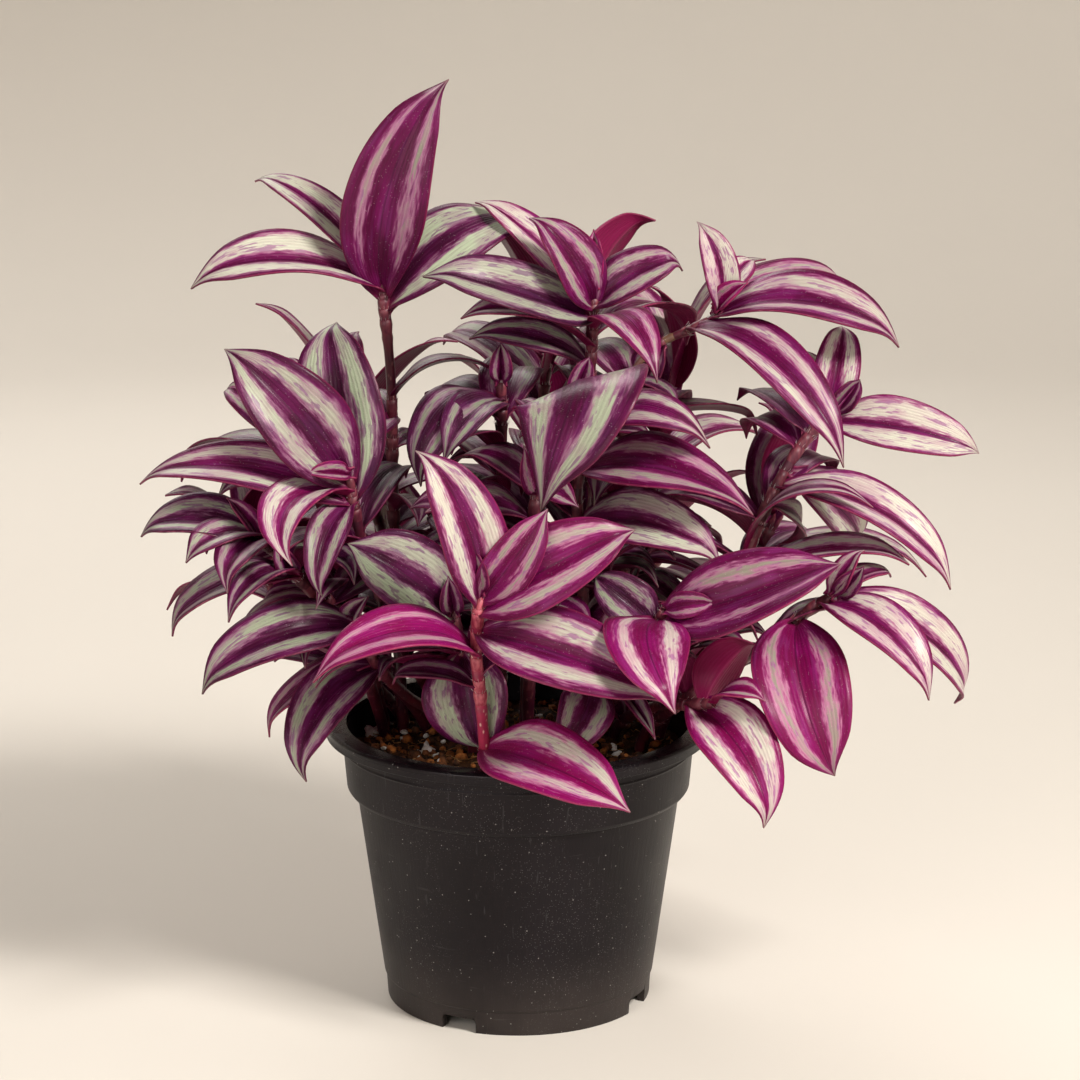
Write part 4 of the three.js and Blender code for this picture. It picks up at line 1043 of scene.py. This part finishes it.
def add_blade(bm, foot, row, draw, cells=BLADE_CELLS):
    """One leaf: a grid laid along its arch, with a creased midrib and bowed halves."""
    look = bm.verts.layers.float_vector["look"]
    leaf = Leaf(*row)
    bud = leaf.breadth < BUD_BREADTH
    arch, side = blade_arch(foot, leaf, bud)
    hook = draw.uniform(1.2, 4.6) * (0.3 if bud else 1) * (0.5 if leaf.breadth < 12 else 1)
    veer = draw.uniform(-0.9, 0.9)
    waves = draw.uniform(0.2, 0.75) * leaf.breadth / 20
    phases = (draw.uniform(0, 6), draw.uniform(0, 6))
    bow = draw.uniform(0.5, 0.95)
    fullness = draw.uniform(1.8, 2.4)
    twist = 0 if bud else draw.uniform(-0.34, 0.34)
    fold = leaf.fold
    if fold is None:
        # A blade that bends hard opens over the bend, and its halves droop.
        steepness = leaf.rise / (arch[3] - arch[0]).length
        fold = FOLD - FOLD_LOST * smooth_step(*STEEP_ARCH, steepness)
    tone = Vector((leaf.rosy + draw.uniform(-0.06, 0.06),
                   leaf.pale + draw.uniform(-0.06, 0.06), draw.random()))
    for vert in blade_grid(bm, cells):
        s, t = vert.co.x * 2, vert.co.y + 0.5
        middle, forward = bezier(arch, t)
        top = side.cross(forward).normalized()
        across = forward.cross(top)
        roll = leaf.roll + twist * smooth_step(0.15, 1, t)
        across, top = (across * math.cos(roll) + top * math.sin(roll),
                       top * math.cos(roll) - across * math.sin(roll))
        half = max(leaf.breadth / 2 * BLADE_WIDER * breadth_share(t, fullness), 0.12)
        clasp = smooth_step(CLASP_LENGTH, 0, t)
        half = half * (1 - clasp) + max(half, CLASP_HALF) * clasp
        keel = (1.1 if bud else fold * (1 - 0.4 * t)) * half
        # Each half bows up from the crease, and its margin waves a little.
        spread = abs(s)
        lift = keel * (spread * (1 + bow) - spread * spread * bow)
        lift += clasp * 1.3 * s * s
        wave = waves * spread ** 2 * math.sin(9 * t + phases[0 if s < 0 else 1])
        lift += wave * smooth_step(0.05, 0.3, t) * smooth_step(1, 0.75, t)
        end = smooth_step(HOOK_START, 1, t) * max(t - HOOK_START, 0) / (1 - HOOK_START)
        spot = middle + across * (s * half * (1 - 0.04 * spread))
        spot += top * (lift - hook * end) + across * (veer * hook * 0.4 * end)
        vert.co = spot
        vert[look] = tone


def blades_mesh():
    """An empty bmesh with the layers that the blades and their finishes use."""
    bm = bmesh.new()
    bm.loops.layers.uv.new("blade")
    bm.verts.layers.float_vector.new("look")
    return bm


def make_leaves(stem, number):
    draw = random.Random(BLADE_SEED + number)
    bm = blades_mesh()
    for row in stem.leaves:
        add_blade(bm, straight_point(stem.path, row[0]), row, draw)
    name = stem.name
    leaves = finish_piece(name + "_leaves", bm,
                          [LEAF_FACE, LEAF_UNDERSIDE, LEAF_MARGIN], name)
    skin = leaves.modifiers.new("thickness", "SOLIDIFY")
    skin.thickness = BLADE_THICKNESS * MM
    skin.offset = 0
    skin.material_offset = 1
    skin.material_offset_rim = 2


def back_leaves(path, first_turn, count, index):
    """The leaves of a stem at the back, by the same rule as the part's own."""
    draw = Draws(1000 + index * 37)
    tones = random.Random(40 + index)
    lean = (Vector(path[-1]) - Vector(path[-2])).normalized()
    rows = []
    for k in range(count):
        turn = math.radians(first_turn + GOLDEN_ANGLE * k)
        steep = math.radians(max(TOP_LEAF_STEEPNESS - STEEPNESS_LOST * k, LOWEST_STEEPNESS))
        length = draw(*BACK_LEAF_LENGTH) * (TOP_LEAF_SHARE if k == 0 else 1)
        place = 1 - 0.012 * k * (k + 1)
        flat = math.cos(steep)
        climb = math.sin(steep) - (BACK_LEAF_DROOP if k > 2 else 0)
        way = Vector((math.cos(turn) * flat, math.sin(turn) * flat, climb))
        way = (way + lean * 0.25).normalized()
        end = straight_point(path, place) + way * length
        face = (-4 * math.cos(turn), -4 * math.sin(turn), 1) if k == 0 else (0, 0, 1)
        rise = draw(*BACK_LEAF_RISE) * flat
        breadth = draw(*BACK_LEAF_BREADTH)
        rows.append([place, *end, rise, breadth, *face, 0,
                     tones.uniform(0.3, 0.75), tones.uniform(0.4, 0.85)])
    return rows


def lower_leaves(stem, index):
    """The leaves of a stem's lower nodes, each lower one drooping more."""
    draw = Draws(500 + index * 41)
    tones = random.Random(90 + index)
    rows = []
    for k in range(stem.lower_count):
        turn = math.radians(stem.lower_turn + GOLDEN_ANGLE * k)
        place = LOWER_LEAF_TOP - LOWER_LEAF_SPACING * k
        length = draw(*LOWER_LEAF_LENGTH)
        way = Vector((0.96 * math.cos(turn), 0.96 * math.sin(turn), 0.1 - 0.12 * k))
        end = straight_point(stem.path, place) + way * length
        rise = draw(*LOWER_LEAF_RISE)
        rows.append([place, *end, rise, draw(*LOWER_LEAF_BREADTH), 0, 0, 1, 0,
                     tones.uniform(0.1, 0.45), tones.uniform(0.15, 0.5)])
    return rows


def tip_bud(stem):
    """The youngest leaf, still rolled up, on a stem whose end would show bare."""
    if any(row[0] == 1 for row in stem.leaves):
        return []
    below, end = (Vector(p) for p in stem.path[-2:])
    way = (end - below).normalized() + Vector((0, -0.2, 0.4))
    return [[1, *(end + way.normalized() * 13), 1, 7, 0, -1, 0.2, 0, 0.4, 0.2]]


def leaf_shell(foot, row):
    """A coarse copy of a leaf, to try other leaves against."""
    bm = blades_mesh()
    add_blade(bm, foot, row, random.Random(1), (4, 8))
    shell = BVHTree.FromBMesh(bm)
    bm.free()
    return shell


def stalk_shell(stem):
    bm = bmesh.new()
    frames = frames_along(smooth_path(stem.path, 8))
    sweep(bm, frames, [STEM_FOOT_RADIUS] * len(frames), 6)
    shell = BVHTree.FromBMesh(bm)
    bm.free()
    return shell


def inner_row(draw, place, foot):
    """A small leaf's row, with its way, size and turn drawn at random."""
    turn = draw.uniform(0, 2 * math.pi)
    climb = draw.uniform(-0.35, 0.55)
    length = draw.uniform(*INNER_LEAF_LENGTH)
    way = Vector((math.cos(turn), math.sin(turn), climb)).normalized()
    return [place, *(foot + way * length), draw.uniform(3, 7),
            length * draw.uniform(0.34, 0.44), draw.uniform(-0.4, 0.4),
            draw.uniform(-0.6, 0.2), 1, 0, draw.uniform(0.1, 0.5), draw.uniform(0, 0.35)]


def within_bush(x, y, z):
    """Whether a small leaf may end there: clear of the pot, more so where that shows."""
    lowest = LIP_TOP + (6 if y > 20 else 24)
    return z > lowest and y > INNER_LEAF_FRONT and math.hypot(x, y) < INNER_LEAF_REACH


def inner_leaves(stems):
    """Small leaves on the bare nodes inside the bush, each turned to where it has room."""
    draw = random.Random(INNER_LEAF_SEED)
    shells = [leaf_shell(straight_point(stem.path, row[0]), row)
              for stem in stems for row in stem.leaves]
    stalks = [stalk_shell(stem) for stem in stems]
    grown = []
    for number, stem in enumerate(stems):
        rows = []
        span = sum((Vector(b) - Vector(a)).length for a, b in zip(stem.path, stem.path[1:]))
        place = INNER_LEAF_LOWEST
        while place < INNER_LEAF_HIGHEST:
            foot = straight_point(stem.path, place)
            free = foot.z < INNER_LEAF_TOP and all(
                abs(place - row[0]) * span > INNER_LEAF_GAP for row in stem.leaves)
            for _ in range(INNER_LEAF_TRIES if free else 0):
                row = inner_row(draw, place, foot)
                shell = leaf_shell(foot, row)
                others = shells + stalks[:number] + stalks[number + 1:]
                if within_bush(*row[1:4]) and not any(shell.overlap(o) for o in others):
                    rows.append(row)
                    shells.append(shell)
                    break
            place += INNER_LEAF_SPACING / span
        grown.append(stem._replace(leaves=stem.leaves + rows + tip_bud(stem)))
    return grown


# ---- studio ----

FLOOR_REACH = 1.15
FLOOR_TURNS = 72
COVE_RADIUS = 0.6
COVE_STEPS = 12
WALL_HEIGHT = 2.2
CAMERA_PLACE = (0.0068, -0.961, 0.37)
CAMERA_DIP = 13.11
CAMERA_LENS = 106.67
CAMERA_SENSOR = 36


def soft_light(name, spot, aim, size, power, colour):
    lamp = bpy.data.lights.new(name, "AREA")
    lamp.shape = "SQUARE"
    lamp.size = size
    lamp.energy = power
    lamp.color = colour
    light = bpy.data.objects.new(name, lamp)
    light.location = spot
    light.rotation_euler = (Vector(aim) - Vector(spot)).to_track_quat("-Z", "Y").to_euler()
    bpy.context.scene.collection.objects.link(light)


def make_floor():
    """A round pale floor that rises into a wall all the way round in one wide curve."""
    line = [(0, 0, 0), (0, FLOOR_REACH, 0)]
    for k in range(1, COVE_STEPS + 1):
        angle = math.pi / 2 * k / COVE_STEPS
        line.append((0, FLOOR_REACH + COVE_RADIUS * math.sin(angle),
                     COVE_RADIUS * (1 - math.cos(angle))))
    line.append((0, FLOOR_REACH + COVE_RADIUS, WALL_HEIGHT))
    paper = Finish("studio_paper", 0.85, Specular_IOR_Level=0.2)
    paper.colour(paper.mix(paper.grain(paper.object_place, 3), (0.66, 0.62, 0.57),
                           (0.69, 0.655, 0.605)))
    show("studio_floor", turned(line, FLOOR_TURNS), [paper.material])


def make_studio():
    make_floor()
    soft_light("key_light", (0.75, -0.75, 1.05), (0, 0, 0.15), 0.36, 26, (1, 0.955, 0.89))
    soft_light("fill_light", (-0.7, -1.2, 0.55), (0, 0, 0.1), 0.9, 8, (1, 0.965, 0.93))
    soft_light("back_light", (-0.35, 0.95, 1), (0, 0, 0.15), 0.7, 9, (1, 0.97, 0.93))
    bpy.context.scene.view_settings.view_transform = "Standard"
    world = bpy.data.worlds.new("studio")
    world.use_nodes = True
    sky = world.node_tree.nodes["Background"].inputs
    sky["Color"].default_value = (0.92, 0.89, 0.86, 1)
    sky["Strength"].default_value = 0.1
    bpy.context.scene.world = world
    lens = bpy.data.cameras.new("camera")
    lens.lens = CAMERA_LENS
    lens.sensor_width = CAMERA_SENSOR
    camera = bpy.data.objects.new("camera", lens)
    camera.location = CAMERA_PLACE
    camera.rotation_euler = (math.radians(90 - CAMERA_DIP), 0, 0)
    bpy.context.scene.collection.objects.link(camera)
    bpy.context.scene.camera = camera


# ---- the potted plant ----

LEAF_FACE = leaf_face()
LEAF_UNDERSIDE = leaf_underside()
LEAF_MARGIN = leaf_margin()
STEM_SKINS = {
    "stem_front": stem_skin("red_stem_skin", (0.26, 0.012, 0.05), (0.46, 0.036, 0.095),
                            (0.78, 0.48, 0.42), 0.9),
    "stem_top_right": stem_skin("olive_stem_skin", (0.15, 0.06, 0.05),
                                (0.3, 0.19, 0.09), (0.42, 0.3, 0.18), 0.6),
    "other": stem_skin("stem_skin", (0.055, 0.005, 0.018), (0.14, 0.014, 0.026),
                       (0.32, 0.12, 0.105), 0.45),
}
SHEATH_SKINS = {
    "stem_front": sheath_skin("red_sheath_skin", (0.26, 0.018, 0.046), (0.46, 0.1, 0.13)),
    "other": sheath_skin("sheath_skin", (0.08, 0.007, 0.022), (0.17, 0.03, 0.046)),
}
FINE_HAIR = fine_hair()

back_stems = [Stem(name, path, lower_count, lower_turn, back_leaves(path, turn, count, i))
              for i, (name, path, lower_count, lower_turn, turn, count)
              in enumerate(BACK_STEMS)]
all_stems = [stem._replace(leaves=stem.leaves + lower_leaves(stem, i))
             for i, stem in enumerate(SEEN_STEMS + back_stems)]
all_stems = inner_leaves(all_stems)

make_studio()
make_pot()
make_soil_body()
make_crumbs(all_stems)
make_fibres(all_stems)
make_perlite(all_stems)
for stem_number, each_stem in enumerate(all_stems):
    make_stalk(each_stem, stem_number)
    make_leaves(each_stem, stem_number)
